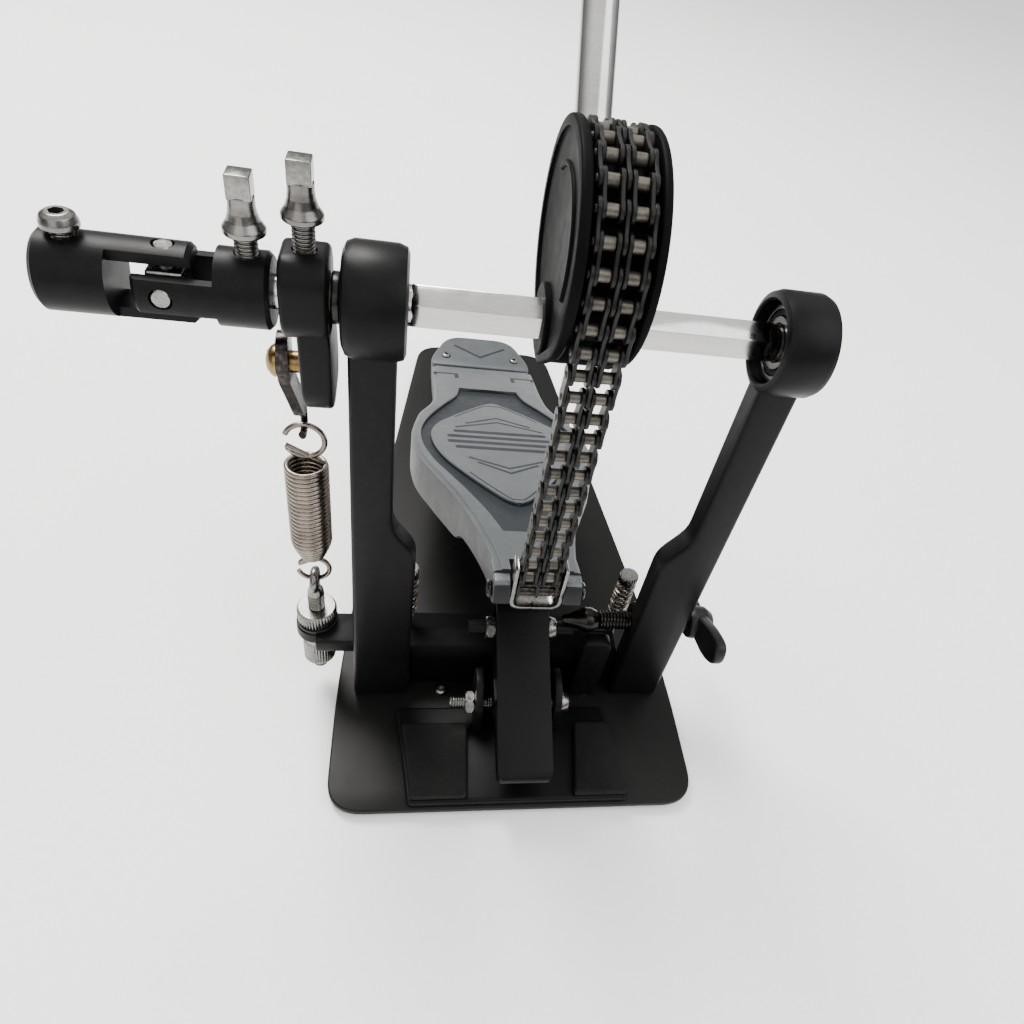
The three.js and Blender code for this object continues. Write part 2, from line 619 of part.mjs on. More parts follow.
function addSpring() {
  const hanger = place(0, SPRING_Y, AXLE_HEIGHT - HANGER_PIVOT_DROP);
  const plateLeft = -80.2;
  const plateRight = -77.2;
  const front = slab('x', rounded([
    [-4.6, 0], [-4.2, 7], [0, 9], [4.2, 7], [4.6, 0], [3.6, -10], [3.4, -16.4], [-3.4, -16.4], [-3.6, -10],
  ], 2.4), plateLeft - 1, plateRight + 5);
  const lean = slab('y', outlineOf([
    [plateLeft, 10], [plateRight, 10], [plateRight, -4], [SPRING_X + 1.4, -16.8],
    [SPRING_X - 1.4, -16.8], [plateLeft, -4],
  ]), -6, 6);
  part('hanger_pivot', brass, turned('x', [
    [0, -83.4], [2.6, -83.4], [4.4, -82], [4.4, plateLeft - GAP], [2.9, plateLeft - GAP],
    [2.9, -73.4], [0, -73.4],
  ]), hanger);

  // The hanger leans in over the spring and ends in a hook through the spring's top ring.
  const hookFoot = -23.25;
  const shankY = 2.4;
  const tipY = -3.2;
  const hook = join(
    rod('z', 1.1, hookFoot - 1.1, -15.5, SPRING_X, shankY, SMALL),
    rod('y', 1.1, tipY - 0.6, shankY + 0.6, SPRING_X, hookFoot, SMALL),
    rod('z', 1.1, hookFoot - 1.1, hookFoot + 1.35, SPRING_X, tipY, SMALL),
  );
  const plate = cut(front.intersect(lean), rod('x', 3.1, -90, -70));
  part('spring_hanger', chrome, join(plate, hook), hanger);

  const spring = place(SPRING_X, SPRING_Y, 0);
  const wire = 0.9;
  const coilBottom = 70;
  const coilTop = 114;
  const coil = turned('z', [
    [0, coilBottom], [4, coilBottom], [6.9, coilBottom + 9], [6.9, coilTop], [0, coilTop],
  ]);
  part('return_spring', nickel, join(coil, ring('y', 5.2, wire, 0, 0, coilBottom - 5)), spring);
  part('spring_top_ring', nickel, ring('y', 5.9, wire, 0, 0, coilTop + 6.8 + GAP), spring);

  const eye = ring('x', 3.4, 1.5, 0, 0, EYE_HEIGHT - 1);
  const stem = rod('z', 2.9, 10, EYE_HEIGHT - 5.2, 0, 0, SMALL);
  part('eye_bolt', nickel, join(eye, stem), spring);
  part('lug_washer', blackPlastic, turned('z', [
    [3.3, LUG_TOP], [7.3, LUG_TOP], [7.3, LUG_TOP + 1.2], [3.3, LUG_TOP + 1.2], [3.3, LUG_TOP],
  ]), spring);
  part('upper_knurled_nut', nickel, knurled('z', 6.6, 7, 2.95, LUG_TOP + 1.4, LUG_TOP + 7.4, 20), spring);
  part('lower_knurled_nut', nickel, knurled('z', 5.4, 5.8, 2.95, 15, LUG_BOTTOM - GAP, 18), spring);
}

// ---------------------------------------------------------------- universal joint

// One fork of the joint: a hub with two ears that stand on either side of it along the named axis.
function fork(axis, hubFrom, hubTo, tip) {
  const slotHalf = 5.6;
  const earHalf = 4;
  const wide = YOKE_RADIUS + 1;
  const span = tip > hubTo ? [hubTo - 1, tip] : [tip, hubFrom + 1];
  const space = tip > hubTo ? [hubTo, tip + 1] : [tip - 1, hubFrom];
  const across = (x, along, side) => (axis === 'y'
    ? block(...x, -along, along, -side, side)
    : block(...x, -side, side, -along, along));
  const hub = rod('x', YOKE_RADIUS, hubFrom, hubTo);
  const ears = rod('x', YOKE_RADIUS, ...span).intersect(across(span, wide, earHalf));
  const pinHole = rod(axis, 2.5, -wide, wide, CROSS_X, 0, SMALL);
  return cut(join(hub, ears), across(space, slotHalf, wide), pinHole);
}

function addUniversalJoint() {
  const joint = place(0, 0, AXLE_HEIGHT);
  const yokeHubEnd = -90;
  const yokeTip = CROSS_X - 6;
  const bolt = -83.4;
  part('drive_yoke', blackPaint, cut(
    fork('y', yokeHubEnd, YOKE_RIGHT, yokeTip),
    rod('x', STUB_RADIUS + 0.05, STUB_END - 1, YOKE_RIGHT + 1),
    rod('z', 2.9, 3, 12, bolt, 0, SMALL),
  ), joint);
  part('yoke_key_bolt', nickel, keyBolt(bolt, 6, 13.5), joint);

  part('joint_cross', nickel, join(
    block(CROSS_X - 4, CROSS_X + 4, -4, 4, -4, 4),
    rod('y', 2.3, -8.8, 8.8, CROSS_X, 0, SMALL),
    rod('z', 2.3, -8.8, 8.8, CROSS_X, 0, SMALL),
  ), joint);

  const outerEnd = -127;
  const outerHub = -112;
  part('link_yoke', blackPaint, cut(
    fork('z', outerEnd, outerHub, CROSS_X + 6),
    rod('x', 4.1, outerEnd - 1, outerHub - 2),
    rod('z', 2.9, 3, 12, outerEnd + 6, 0, SMALL),
  ), joint);
  part('link_yoke_screw', nickel, join(
    rod('z', 2.6, 5, 11, outerEnd + 6, 0, SMALL),
    turned('z', [[0, 10.3], [4, 10.3], [4, 11.8], [2.8, 13.6], [0, 13.6]], outerEnd + 6, 0),
  ), joint);
}

// ---------------------------------------------------------------- footboard

// Half widths of the footboard, its recess and the raised leaf, at distances from the hinge.
const BOARD_SIDE = [
  [6, 28.6], [24, 28.5], [52, 28.2], [72, 30], [90, 36], [112, 39], [128, 39], [145, 36.5],
  [163, 30.4], [181, 24.2], [201, 18.8], [223, 14.6], [236, 13.9],
];
const RECESS_SIDE = [
  [46, 15], [60, 17.5], [75, 24], [92, 30.5], [106, 34.2], [118, 35.2], [132, 34], [148, 30],
  [163, 24], [178, 18], [195, 12], [210, 8],
];
const LEAF_SIDE = [
  [69, 3], [80, 12], [92, 21], [104, 28], [116, 31], [130, 30], [145, 26], [160, 19], [175, 10], [189, 3],
];
const RECESS_DEPTH = 1.6;
const DECK_BOTTOM = 2;
const WALL = 2.5;                   // side wall of the hollow footboard

// A closed outline from half widths, mirrored about the board's middle line.
function symmetric(side, extra = 0, trim = 0) {
  const curve = new THREE.SplineCurve(side.map(([s, half]) => new THREE.Vector2(half + extra, -s)));
  const right = curve.getPoints(side.length - 1).filter((point) => {
    return -point.y >= side[0][0] + trim && -point.y <= side[side.length - 1][0] - trim;
  });
  const left = right.map((point) => new THREE.Vector2(-point.x, point.y)).reverse();
  return new THREE.Shape([...right, ...left]);
}

function addFootboard() {
  const board = place(PEDAL_CENTRE, HINGE_Y, HINGE_Z);
  board.rotation.x = -BOARD_SLOPE;
  const earInner = 8.6;
  const earOuter = 13.9;
  const noseStart = 229.5;

  // Side walls hang below the deck and are deepest near the front.
  const shell = slab('z', symmetric(BOARD_SIDE), -10, BOARD_TOP, 0.8);
  const lowerEdge = slab('x', outlineOf([
    [0, 20], [0, -1], [-6, -1], [-60, -5], [-120, -8], [-180, -9.5], [-196, -5], [-240, -4], [-240, 20],
  ]), -45, 45);
  const hollow = slab('z', symmetric(BOARD_SIDE, -WALL, 4), -11, DECK_BOTTOM);
  const deck = cut(shell.intersect(lowerEdge), hollow);
  const basin = slab('z', symmetric(RECESS_SIDE), BOARD_TOP - RECESS_DEPTH, BOARD_TOP + 1);
  const leaf = slab('z', symmetric(LEAF_SIDE), BOARD_TOP - 2, BOARD_TOP);
  const nose = block(-earInner, earInner, -BOARD_LENGTH - 6, -noseStart, -10, 12);
  const skirt = (sign) => {
    const x = [sign * 11.2, sign * earOuter];
    return slab('x', rounded([
      [-BOARD_LENGTH - 3.6, -2], [-BOARD_LENGTH - 3.6, 5.8], [-232, BOARD_TOP - 0.6], [-196, 4],
      [-196, 1.6], [-228, -5], [-BOARD_LENGTH, -5],
    ], 2), Math.min(...x), Math.max(...x));
  };
  const ear = (sign) => {
    const x = [sign * earInner, sign * earOuter];
    return slab('x', rounded([
      [-BOARD_LENGTH - 4, -3], [-BOARD_LENGTH - 4, 4.5], [-233, BOARD_TOP - 0.4], [-226, BOARD_TOP - 0.4],
      [-226, -3], [-BOARD_LENGTH + 4, -4.5], [-BOARD_LENGTH, -5],
    ], 2.4), Math.min(...x), Math.max(...x));
  };
  const knuckle = rod('x', 4, -13, 13, 0, 0, SMALL).add(block(-13, 13, -9, 0, -1.5, 4));
  const pinHole = rod('x', 1.8, -40, 40, 0, 0, SMALL);
  const toeHole = rod('x', 2.05, -40, 40, -BOARD_LENGTH, 0, SMALL);
  const heelRelief = block(-40, 40, -6.4, 12, -6, 12);
  const solid = join(
    cut(cut(deck, basin).add(leaf), nose, heelRelief),
    skirt(-1), skirt(1), ear(-1), ear(1), knuckle,
  );
  part('footboard', silverPaint, cut(solid, pinHole, toeHole), board);

  part('toe_pin', nickel, join(
    rod('x', 1.9, -15, 15, -BOARD_LENGTH, 0, SMALL),
    rod('x', 3, -16, -14.3, -BOARD_LENGTH, 0, SMALL),
    rod('x', 3, 14.3, 16, -BOARD_LENGTH, 0, SMALL),
  ), board);

  // A U-shaped stirrup hangs on the toe pin and takes the end of the chain.
  const stirrup = place(PEDAL_CENTRE, TOE_PIN_Y, TOE_PIN_Z);
  const outer = rounded([[-8.3, 13], [-8.3, -6], [8.3, -6], [8.3, 13]].map(([x, z], i) => [x, z, i % 3 ? 3.5 : 1]), 1);
  const inner = rounded([[-7.2, 15], [-7.2, -4.8], [7.2, -4.8], [7.2, 15]].map(([x, z]) => [x, z, 2.5]), 1);
  part('toe_stirrup', nickel, cut(
    slab('y', outer, -3.2, 3.2), slab('y', inner, -5, 5), rod('x', 2.05, -12, 12, 0, 0, SMALL),
  ), stirrup);
}

function addHeel() {
  const heel = place(PEDAL_CENTRE, 0, 0);
  const plate = slab('z', rounded([
    [28.5, HINGE_Y + 5, 3], [28.5, HINGE_Y + 12, 5], [19, HINGE_Y + 36, 10],
    [-19, HINGE_Y + 36, 10], [-28.5, HINGE_Y + 12, 5], [-28.5, HINGE_Y + 5, 3],
  ], 3), PLATE_TOP, HINGE_Z + 4.5, 0.8);
  const knuckle = (sign) => {
    const [from, to] = sign < 0 ? [-28, -13.4] : [13.4, 28];
    return rod('x', 4, from, to, HINGE_Y, HINGE_Z, SMALL)
      .add(block(from, to, HINGE_Y, HINGE_Y + 8, HINGE_Z - 4, HINGE_Z + 3.5));
  };
  const pinHole = rod('x', 1.8, -40, 40, HINGE_Y, HINGE_Z, SMALL);
  part('heel_plate', silverPaint, cut(join(plate, knuckle(-1), knuckle(1)), pinHole), heel);
  part('hinge_pin', nickel, rod('x', 1.6, -28.5, 28.5, HINGE_Y, HINGE_Z, SMALL), heel);
}

addBase();
addPosts();
addBearings();
addJaws();
addClampBracket();
addClampArm();
addClampScrew();
addSpurs();
addAxle();
addRocker();
addCam();
addChain();
addSpring();
addUniversalJoint();
addFootboard();
addHeel();

export default pedal;
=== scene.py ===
"""Bass drum pedal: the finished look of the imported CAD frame.

Lengths are millimetres until a mesh is made, and metres from there on. +X runs along the
axle, +Y points to the heel and +Z is up. Each piece rides on the CAD body it belongs to.
"""

import math

import bmesh
import bpy
from mathutils import Matrix, Vector


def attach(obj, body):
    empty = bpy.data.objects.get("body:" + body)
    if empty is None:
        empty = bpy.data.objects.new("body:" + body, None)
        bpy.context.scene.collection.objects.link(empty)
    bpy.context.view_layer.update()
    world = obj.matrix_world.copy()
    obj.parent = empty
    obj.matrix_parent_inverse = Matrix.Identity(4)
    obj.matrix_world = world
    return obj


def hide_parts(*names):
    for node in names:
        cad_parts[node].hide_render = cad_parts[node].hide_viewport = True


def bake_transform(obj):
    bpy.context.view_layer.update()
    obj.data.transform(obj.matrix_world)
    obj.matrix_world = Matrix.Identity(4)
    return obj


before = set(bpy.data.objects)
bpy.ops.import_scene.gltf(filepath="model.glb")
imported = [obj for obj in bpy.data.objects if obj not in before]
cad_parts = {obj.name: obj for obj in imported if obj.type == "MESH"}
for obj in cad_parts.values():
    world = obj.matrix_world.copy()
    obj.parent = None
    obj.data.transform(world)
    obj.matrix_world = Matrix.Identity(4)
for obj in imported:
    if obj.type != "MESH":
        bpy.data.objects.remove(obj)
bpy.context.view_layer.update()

MM = 0.001
AXLE_Z = 172.5
CENTRE = -4.3                        # X of the footboard, the chain and the cam
HEX_FLATS = 10.0
JOURNAL = 5.0
HOUSING_IN = 47.2
HOUSING_OUT = 62.7
HOUSING_R = 14.0
BEARING_R = 11.0

# ------------------------------------------------------------------ outlines and profiles


def fillet(points, radius, steps=6, closed=True):
    """The outline with round corners; a third number gives a corner its own radius."""
    out = []
    count = len(points)
    for i, point in enumerate(points):
        here = Vector(point[:2])
        reach = point[2] if len(point) > 2 else radius
        ends = not closed and i in (0, count - 1)
        if reach <= 0 or ends:
            out.append(tuple(here))
            continue
        before = Vector(points[i - 1][:2]) - here
        after = Vector(points[(i + 1) % count][:2]) - here
        entry = here + before.normalized() * min(reach, before.length / 2)
        leave = here + after.normalized() * min(reach, after.length / 2)
        for k in range(steps + 1):
            t = k / steps
            out.append(tuple((1 - t) ** 2 * entry + 2 * t * (1 - t) * here + t * t * leave))
    return out


def circle(radius, a=0.0, b=0.0, count=64, start=0.0, sweep=360.0):
    points = []
    for k in range(count):
        angle = math.radians(start + sweep * k / count)
        points.append((a + radius * math.cos(angle), b + radius * math.sin(angle)))
    return points


def smooth_curve(points, steps=4):
    """Catmull-Rom points through the given ones, of any dimension."""
    points = [Vector(p) for p in points]
    padded = [2 * points[0] - points[1], *points, 2 * points[-1] - points[-2]]
    out = []
    for i in range(1, len(padded) - 2):
        p0, p1, p2, p3 = padded[i - 1 : i + 3]
        for k in range(steps):
            t = k / steps
            out.append(
                0.5 * (2 * p1 + (p2 - p0) * t + (2 * p0 - 5 * p1 + 4 * p2 - p3) * t * t
                       + (3 * p1 - p0 - 3 * p2 + p3) * t ** 3)
            )
    out.append(points[-1])
    return out


# ------------------------------------------------------------------ solids, as bmesh


def to_axis(axis, u, v, along):
    """u and v are the other two coordinates, in X, Y, Z order."""
    if axis == "x":
        return (along, u, v)
    if axis == "y":
        return (u, along, v)
    return (u, v, along)


def without_repeats(points, closed=True):
    """The points with neighbours that coincide taken out."""
    kept = []
    for point in points:
        if not kept or math.dist(point[:2], kept[-1][:2]) > 1e-4:
            kept.append(point)
    if closed and len(kept) > 1 and math.dist(kept[0][:2], kept[-1][:2]) < 1e-4:
        kept.pop()
    return kept


def prism(axis, outline, low, high, bevel=0.0, segments=3, corner=28.0):
    outline = without_repeats(outline)
    bm = bmesh.new()
    base = [bm.verts.new(to_axis(axis, u, v, low)) for u, v in outline]
    top = [bm.verts.new(to_axis(axis, u, v, high)) for u, v in outline]
    count = len(outline)
    bm.faces.new(base)
    bm.faces.new(list(reversed(top)))
    for i in range(count):
        j = (i + 1) % count
        bm.faces.new((base[j], base[i], top[i], top[j]))
    bmesh.ops.recalc_face_normals(bm, faces=bm.faces)
    return bevelled(bm, bevel, segments, corner)


def bevelled(bm, width, segments=3, corner=28.0):
    if width > 0:
        bm.normal_update()
        limit = math.radians(corner)
        edges = [e for e in bm.edges if len(e.link_faces) == 2 and e.calc_face_angle(0) > limit]
        bmesh.ops.bevel(
            bm, geom=edges, offset=width, segments=segments, profile=0.5,
            affect="EDGES", clamp_overlap=True,
        )
    return bm


def box(x, y, z, bevel=0.4, segments=3):
    outline = [(x[0], y[0]), (x[1], y[0]), (x[1], y[1]), (x[0], y[1])]
    return prism("z", outline, z[0], z[1], bevel, segments)


def add_face(bm, corners, material_index=0):
    """A face through the corners, left out where fewer than three of them differ."""
    different = list(dict.fromkeys(corners))
    if len(different) > 2:
        bm.faces.new(different).material_index = material_index


def lathe(axis, profile, a=0.0, b=0.0, sides=64, round_by=0.0):
    """A turned piece; each profile point is (radius, distance along the axis)."""
    loop = len(profile) > 2 and tuple(profile[0]) == tuple(profile[-1])
    if round_by:
        core = profile[:-1] if loop else profile
        profile = fillet(core, round_by, 4, closed=loop)
        if loop:
            profile.append(profile[0])
    profile = without_repeats(profile, closed=False)
    bm = bmesh.new()
    rings = []
    for radius, along in profile:
        if radius < 1e-6:
            rings.append([bm.verts.new(to_axis(axis, a, b, along))] * sides)
            continue
        ring = []
        for u, v in circle(radius, a, b, sides):
            ring.append(bm.verts.new(to_axis(axis, u, v, along)))
        rings.append(ring)
    if loop:
        rings[-1] = rings[0]
    for low, high in zip(rings, rings[1:]):
        for i in range(sides):
            j = (i + 1) % sides
            add_face(bm, (low[i], low[j], high[j], high[i]))
    loose = [v for v in bm.verts if not v.link_faces]
    bmesh.ops.delete(bm, geom=loose, context="VERTS")
    bmesh.ops.recalc_face_normals(bm, faces=bm.faces)
    return bm


def rod(axis, radius, low, high, a=0.0, b=0.0, chamfer=0.4, sides=64):
    """A round bar with chamfered rims."""
    return lathe(axis, [
        (0, low), (radius - chamfer, low), (radius, low + chamfer),
        (radius, high - chamfer), (radius - chamfer, high), (0, high),
    ], a, b, sides)


def washer(axis, inner, outer, low, high, a=0.0, b=0.0, soft=0.3, sides=64):
    return lathe(axis, [
        (inner, low), (outer, low), (outer, high), (inner, high), (inner, low),
    ], a, b, sides, soft)


def thread(axis, radius, low, high, a=0.0, b=0.0, pitch=0.9, depth=0.4, sides=40):
    """A threaded rod, as a row of ridges on a core."""
    profile = [(0, low), (radius - depth, low)]
    turns = max(2, int((high - low) / pitch))
    step = (high - low) / turns
    for k in range(turns):
        at = low + (k + 0.25) * (high - low) / turns
        profile += [(radius, at + 0.1 * step), (radius, at + 0.25 * step)]
        profile += [(radius - depth, at + 0.5 * step), (radius - depth, at + 0.6 * step)]
    profile += [(radius - depth, high), (0, high)]
    return lathe(axis, profile, a, b, sides)


def knurl(axis, radius, low, high, a=0.0, b=0.0, teeth=40, depth=0.35, edge=0.5):
    """A grip with straight teeth and chamfered rims."""
    bm = bmesh.new()
    rings = []
    levels = [(low, -edge), (low + edge, 0), (high - edge, 0), (high, -edge)]
    for along, shrink in levels:
        ring = []
        for i in range(4 * teeth):
            angle = i / (2 * teeth) * math.pi
            inset = 0 if i % 4 in (0, 1) else depth
            r = radius + shrink - (inset if shrink == 0 else 0)
            u, v = a + r * math.cos(angle), b + r * math.sin(angle)
            ring.append(bm.verts.new(to_axis(axis, u, v, along)))
        rings.append(ring)
    for one, two in zip(rings, rings[1:]):
        for i in range(4 * teeth):
            j = (i + 1) % (4 * teeth)
            bm.faces.new((one[i], one[j], two[j], two[i]))
    bm.faces.new(rings[0])
    bm.faces.new(list(reversed(rings[-1])))
    bmesh.ops.recalc_face_normals(bm, faces=bm.faces)
    return bm


def sweep(path, radius, sides=12, closed=False):
    """A wire along a path."""
    points = [Vector(p) for p in path]
    bm = bmesh.new()
    rings = []
    normal = None
    count = len(points)
    for i, point in enumerate(points):
        after = points[(i + 1) % count] if closed or i < count - 1 else point
        before = points[i - 1] if closed or i > 0 else point
        tangent = (after - before).normalized()
        if normal is None:
            normal = tangent.orthogonal().normalized()
        normal = (normal - tangent * normal.dot(tangent)).normalized()
        other = tangent.cross(normal)
        ring = []
        for k in range(sides):
            angle = 2 * math.pi * k / sides
            offset = normal * math.cos(angle) + other * math.sin(angle)
            ring.append(bm.verts.new(point + radius * offset))
        rings.append(ring)
    pairs = list(zip(rings, rings[1:]))
    if closed:
        pairs.append((rings[-1], rings[0]))
    for one, two in pairs:
        for k in range(sides):
            n = (k + 1) % sides
            bm.faces.new((one[k], one[n], two[n], two[k]))
    if not closed:
        bm.faces.new(list(reversed(rings[0])))
        bm.faces.new(rings[-1])
    bmesh.ops.recalc_face_normals(bm, faces=bm.faces)
    return bm


def joined(*solids):
    """One mesh from several; each may be a bmesh or a list of them."""
    whole = bmesh.new()
    for solid in solids:
        for bm in solid if isinstance(solid, list) else [solid]:
            scratch = bpy.data.meshes.new("scratch")
            bm.to_mesh(scratch)
            whole.from_mesh(scratch)
            bpy.data.meshes.remove(scratch)
    return whole


def combined(whole, others, operation="DIFFERENCE"):
    """The exact boolean of a solid and one or more others."""
    mesh = bpy.data.meshes.new("whole")
    whole.to_mesh(mesh)
    main = bpy.data.objects.new("whole", mesh)
    bpy.context.collection.objects.link(main)
    helpers = [main]
    for other in others:
        other_mesh = bpy.data.meshes.new("other")
        other.to_mesh(other_mesh)
        helper = bpy.data.objects.new("other", other_mesh)
        bpy.context.collection.objects.link(helper)
        helpers.append(helper)
        modifier = main.modifiers.new("cut", "BOOLEAN")
        modifier.operation = operation
        modifier.solver = "EXACT"
        modifier.object = helper
    bpy.context.view_layer.update()
    ready = main.evaluated_get(bpy.context.evaluated_depsgraph_get())
    result = bmesh.new()
    result.from_mesh(ready.to_mesh())
    ready.to_mesh_clear()
    for helper in helpers:
        data = helper.data
        bpy.data.objects.remove(helper)
        bpy.data.meshes.remove(data)
    bmesh.ops.remove_doubles(result, verts=result.verts, dist=1e-4)
    return result


def cut(whole, *cutters):
    return combined(whole, cutters)


def moved(bm, matrix):
    bmesh.ops.transform(bm, matrix=matrix, verts=bm.verts)
    return bm


def shifted(bm, x=0.0, y=0.0, z=0.0):
    return moved(bm, Matrix.Translation((x, y, z)))


# ------------------------------------------------------------------ materials


def surface(
    name, dark, light, rough, metal=0.0, scale=60.0, stretch=(1, 1, 1), grain=2500.0,
    grain_depth=0.00003, specular=0.5, wear=None, wear_amount=0.5, sheen=0.0, mottle=0.15,
):
    """A procedural finish: broad colour drift, fine grain, uneven roughness and edge wear."""
    material = bpy.data.materials.new(name)
    material.use_nodes = True
    tree = material.node_tree
    tree.nodes.clear()
    output = tree.nodes.new("ShaderNodeOutputMaterial")
    shader = tree.nodes.new("ShaderNodeBsdfPrincipled")
    tree.links.new(shader.outputs["BSDF"], output.inputs["Surface"])
    shader.inputs["Metallic"].default_value = metal
    shader.inputs["Specular IOR Level"].default_value = specular
    shader.inputs["Sheen Weight"].default_value = sheen
    place = tree.nodes.new("ShaderNodeTexCoord").outputs["Object"]
    mapping = tree.nodes.new("ShaderNodeMapping")
    mapping.inputs["Scale"].default_value = stretch
    tree.links.new(place, mapping.inputs["Vector"])

    def noise(size, detail, source):
        node = tree.nodes.new("ShaderNodeTexNoise")
        node.inputs["Scale"].default_value = size
        node.inputs["Detail"].default_value = detail
        node.inputs["Roughness"].default_value = 0.6
        tree.links.new(source, node.inputs["Vector"])
        return node.outputs["Fac"]

    def ramp(source, low, high, start=0.35, end=0.65):
        node = tree.nodes.new("ShaderNodeValToRGB")
        node.color_ramp.elements[0].position = start
        node.color_ramp.elements[1].position = end
        node.color_ramp.elements[0].color = (*low, 1)
        node.color_ramp.elements[1].color = (*high, 1)
        tree.links.new(source, node.inputs["Fac"])
        return node.outputs["Color"]

    def spread(source, low, high):
        node = tree.nodes.new("ShaderNodeMapRange")
        node.inputs["From Min"].default_value = 0.3
        node.inputs["From Max"].default_value = 0.7
        node.inputs["To Min"].default_value = low
        node.inputs["To Max"].default_value = high
        tree.links.new(source, node.inputs["Value"])
        return node.outputs["Result"]

    def blend(first, second, factor, mode="MIX"):
        node = tree.nodes.new("ShaderNodeMix")
        node.data_type = "RGBA"
        node.blend_type = mode
        if isinstance(factor, float):
            node.inputs["Factor"].default_value = factor
        else:
            tree.links.new(factor, node.inputs["Factor"])
        tree.links.new(first, node.inputs["A"])
        if isinstance(second, tuple):
            node.inputs["B"].default_value = (*second, 1)
        else:
            tree.links.new(second, node.inputs["B"])
        return node.outputs["Result"]

    broad = noise(scale, 5.0, mapping.outputs["Vector"])
    fine = noise(grain, 2.0, mapping.outputs["Vector"])
    colour = ramp(broad, dark, light)
    shade = ramp(fine, (1 - mottle,) * 3, (1 + mottle,) * 3)
    colour = blend(colour, shade, 1.0, "MULTIPLY")
    patches = noise(scale * 4, 6.0, place)
    roughness = spread(patches, *rough)
    if wear:
        geometry = tree.nodes.new("ShaderNodeNewGeometry")
        edges = ramp(geometry.outputs["Pointiness"], (0, 0, 0), (1, 1, 1), 0.515, 0.56)
        chips = ramp(noise(scale * 9, 6.0, place), (0, 0, 0), (1, 1, 1), 0.42, 0.62)
        mask = blend(edges, chips, 1.0, "MULTIPLY")
        amount = blend(mask, (wear_amount,) * 3, 1.0, "MULTIPLY")
        colour = blend(colour, wear, amount)
    tree.links.new(colour, shader.inputs["Base Color"])
    tree.links.new(roughness, shader.inputs["Roughness"])
    bump = tree.nodes.new("ShaderNodeBump")
    bump.inputs["Distance"].default_value = grain_depth
    bump.inputs["Strength"].default_value = 0.6
    tree.links.new(fine, bump.inputs["Height"])
    tree.links.new(bump.outputs["Normal"], shader.inputs["Normal"])
    return material


POWDER = surface(
    "powder coat", (0.0022, 0.0022, 0.0024), (0.0034, 0.0034, 0.0037), (0.38, 0.44), 0.0, 45.0,
    grain=1900.0, grain_depth=0.00003, specular=0.1, wear=(0.02, 0.02, 0.021), wear_amount=0.08,
)
MATT_BLACK = surface(
    "matt black enamel", (0.002, 0.002, 0.0021), (0.0032, 0.0032, 0.0034), (0.5, 0.6), 0.0, 50.0,
    grain=1700.0, grain_depth=0.00003, specular=0.03,
)
PLATE = surface(
    "sheet steel paint", (0.0025, 0.0025, 0.0024), (0.004, 0.0038, 0.0034), (0.42, 0.5), 0.0, 9.0,
    grain=1500.0, grain_depth=0.00003, specular=0.16, wear=(0.02, 0.019, 0.018), wear_amount=0.1,
)
SILVER = surface(
    "silver casting", (0.058, 0.065, 0.069), (0.074, 0.082, 0.087), (0.36, 0.46), 0.35, 35.0,
    grain=2600.0, grain_depth=0.00006, specular=0.5, wear=(0.3, 0.3, 0.31), wear_amount=0.06,
    mottle=0.25,
)
# A darker copy of the silver casting: painted shade for the footboard's side walls, which are the same
# silver in shadow.
WALL_PAINTED_SHADE = surface(
    "side wall painted shade", (0.012, 0.014, 0.015), (0.018, 0.02, 0.021), (0.42, 0.52), 0.2, 35.0,
    grain=2200.0, grain_depth=0.00008, specular=0.3, mottle=0.2,
)
RECESS = surface(
    "dark recess paint", (0.006, 0.0085, 0.0105), (0.009, 0.012, 0.015), (0.5, 0.62), 0.0, 50.0,
    grain=1400.0, grain_depth=0.0001, specular=0.25, mottle=0.25,
)
CHROME = surface(
    "chrome", (0.42, 0.415, 0.4), (0.52, 0.515, 0.495), (0.08, 0.2), 1.0, 55.0,
    stretch=(0.15, 1, 1), grain=2200.0, grain_depth=0.000012, mottle=0.05,
)
NICKEL = surface(
    "nickel plate", (0.12, 0.116, 0.11), (0.21, 0.204, 0.193), (0.18, 0.34), 1.0, 90.0,
    grain=2600.0, grain_depth=0.00002, mottle=0.12, wear=(0.6, 0.59, 0.56), wear_amount=0.15,
)
BLACK_CHROME = surface(
    "black chrome", (0.012, 0.011, 0.011), (0.03, 0.027, 0.025), (0.16, 0.32), 1.0, 80.0,
    grain=2400.0, grain_depth=0.00002, mottle=0.1, wear=(0.3, 0.27, 0.24), wear_amount=0.12,
)
SPRING_WIRE = surface(
    "spring wire", (0.15, 0.125, 0.105), (0.25, 0.215, 0.185), (0.2, 0.34), 1.0, 120.0,
    grain=3000.0, grain_depth=0.00002, mottle=0.12,
)
CHAIN_BLACK = surface(
    "blackened chain plate", (0.0026, 0.0025, 0.0025), (0.0045, 0.0043, 0.0042), (0.34, 0.46), 0.0, 180.0,
    grain=3000.0, grain_depth=0.00002, specular=0.22,
)
ROLLER = surface(
    "chain roller", (0.06, 0.054, 0.044), (0.13, 0.118, 0.098), (0.32, 0.48), 0.75, 260.0,
    grain=3000.0, grain_depth=0.00002, mottle=0.15,
)
BRASS = surface(
    "brass", (0.12, 0.075, 0.025), (0.22, 0.15, 0.06), (0.22, 0.38), 1.0, 160.0,
    grain=2600.0, grain_depth=0.00002, mottle=0.12, wear=(0.7, 0.52, 0.26), wear_amount=0.1,
)
RUBBER = surface(
    "rubber", (0.003, 0.003, 0.003), (0.005, 0.005, 0.0048), (0.66, 0.8), 0.0, 70.0,
    grain=900.0, grain_depth=0.00012, specular=0.15, mottle=0.2,
)
PLASTIC = surface(
    "moulded plastic", (0.0028, 0.0028, 0.003), (0.0045, 0.0045, 0.005), (0.4, 0.5), 0.0, 60.0,
    grain=1600.0, grain_depth=0.00006, specular=0.25, wear=(0.04, 0.04, 0.04), wear_amount=0.06,
)
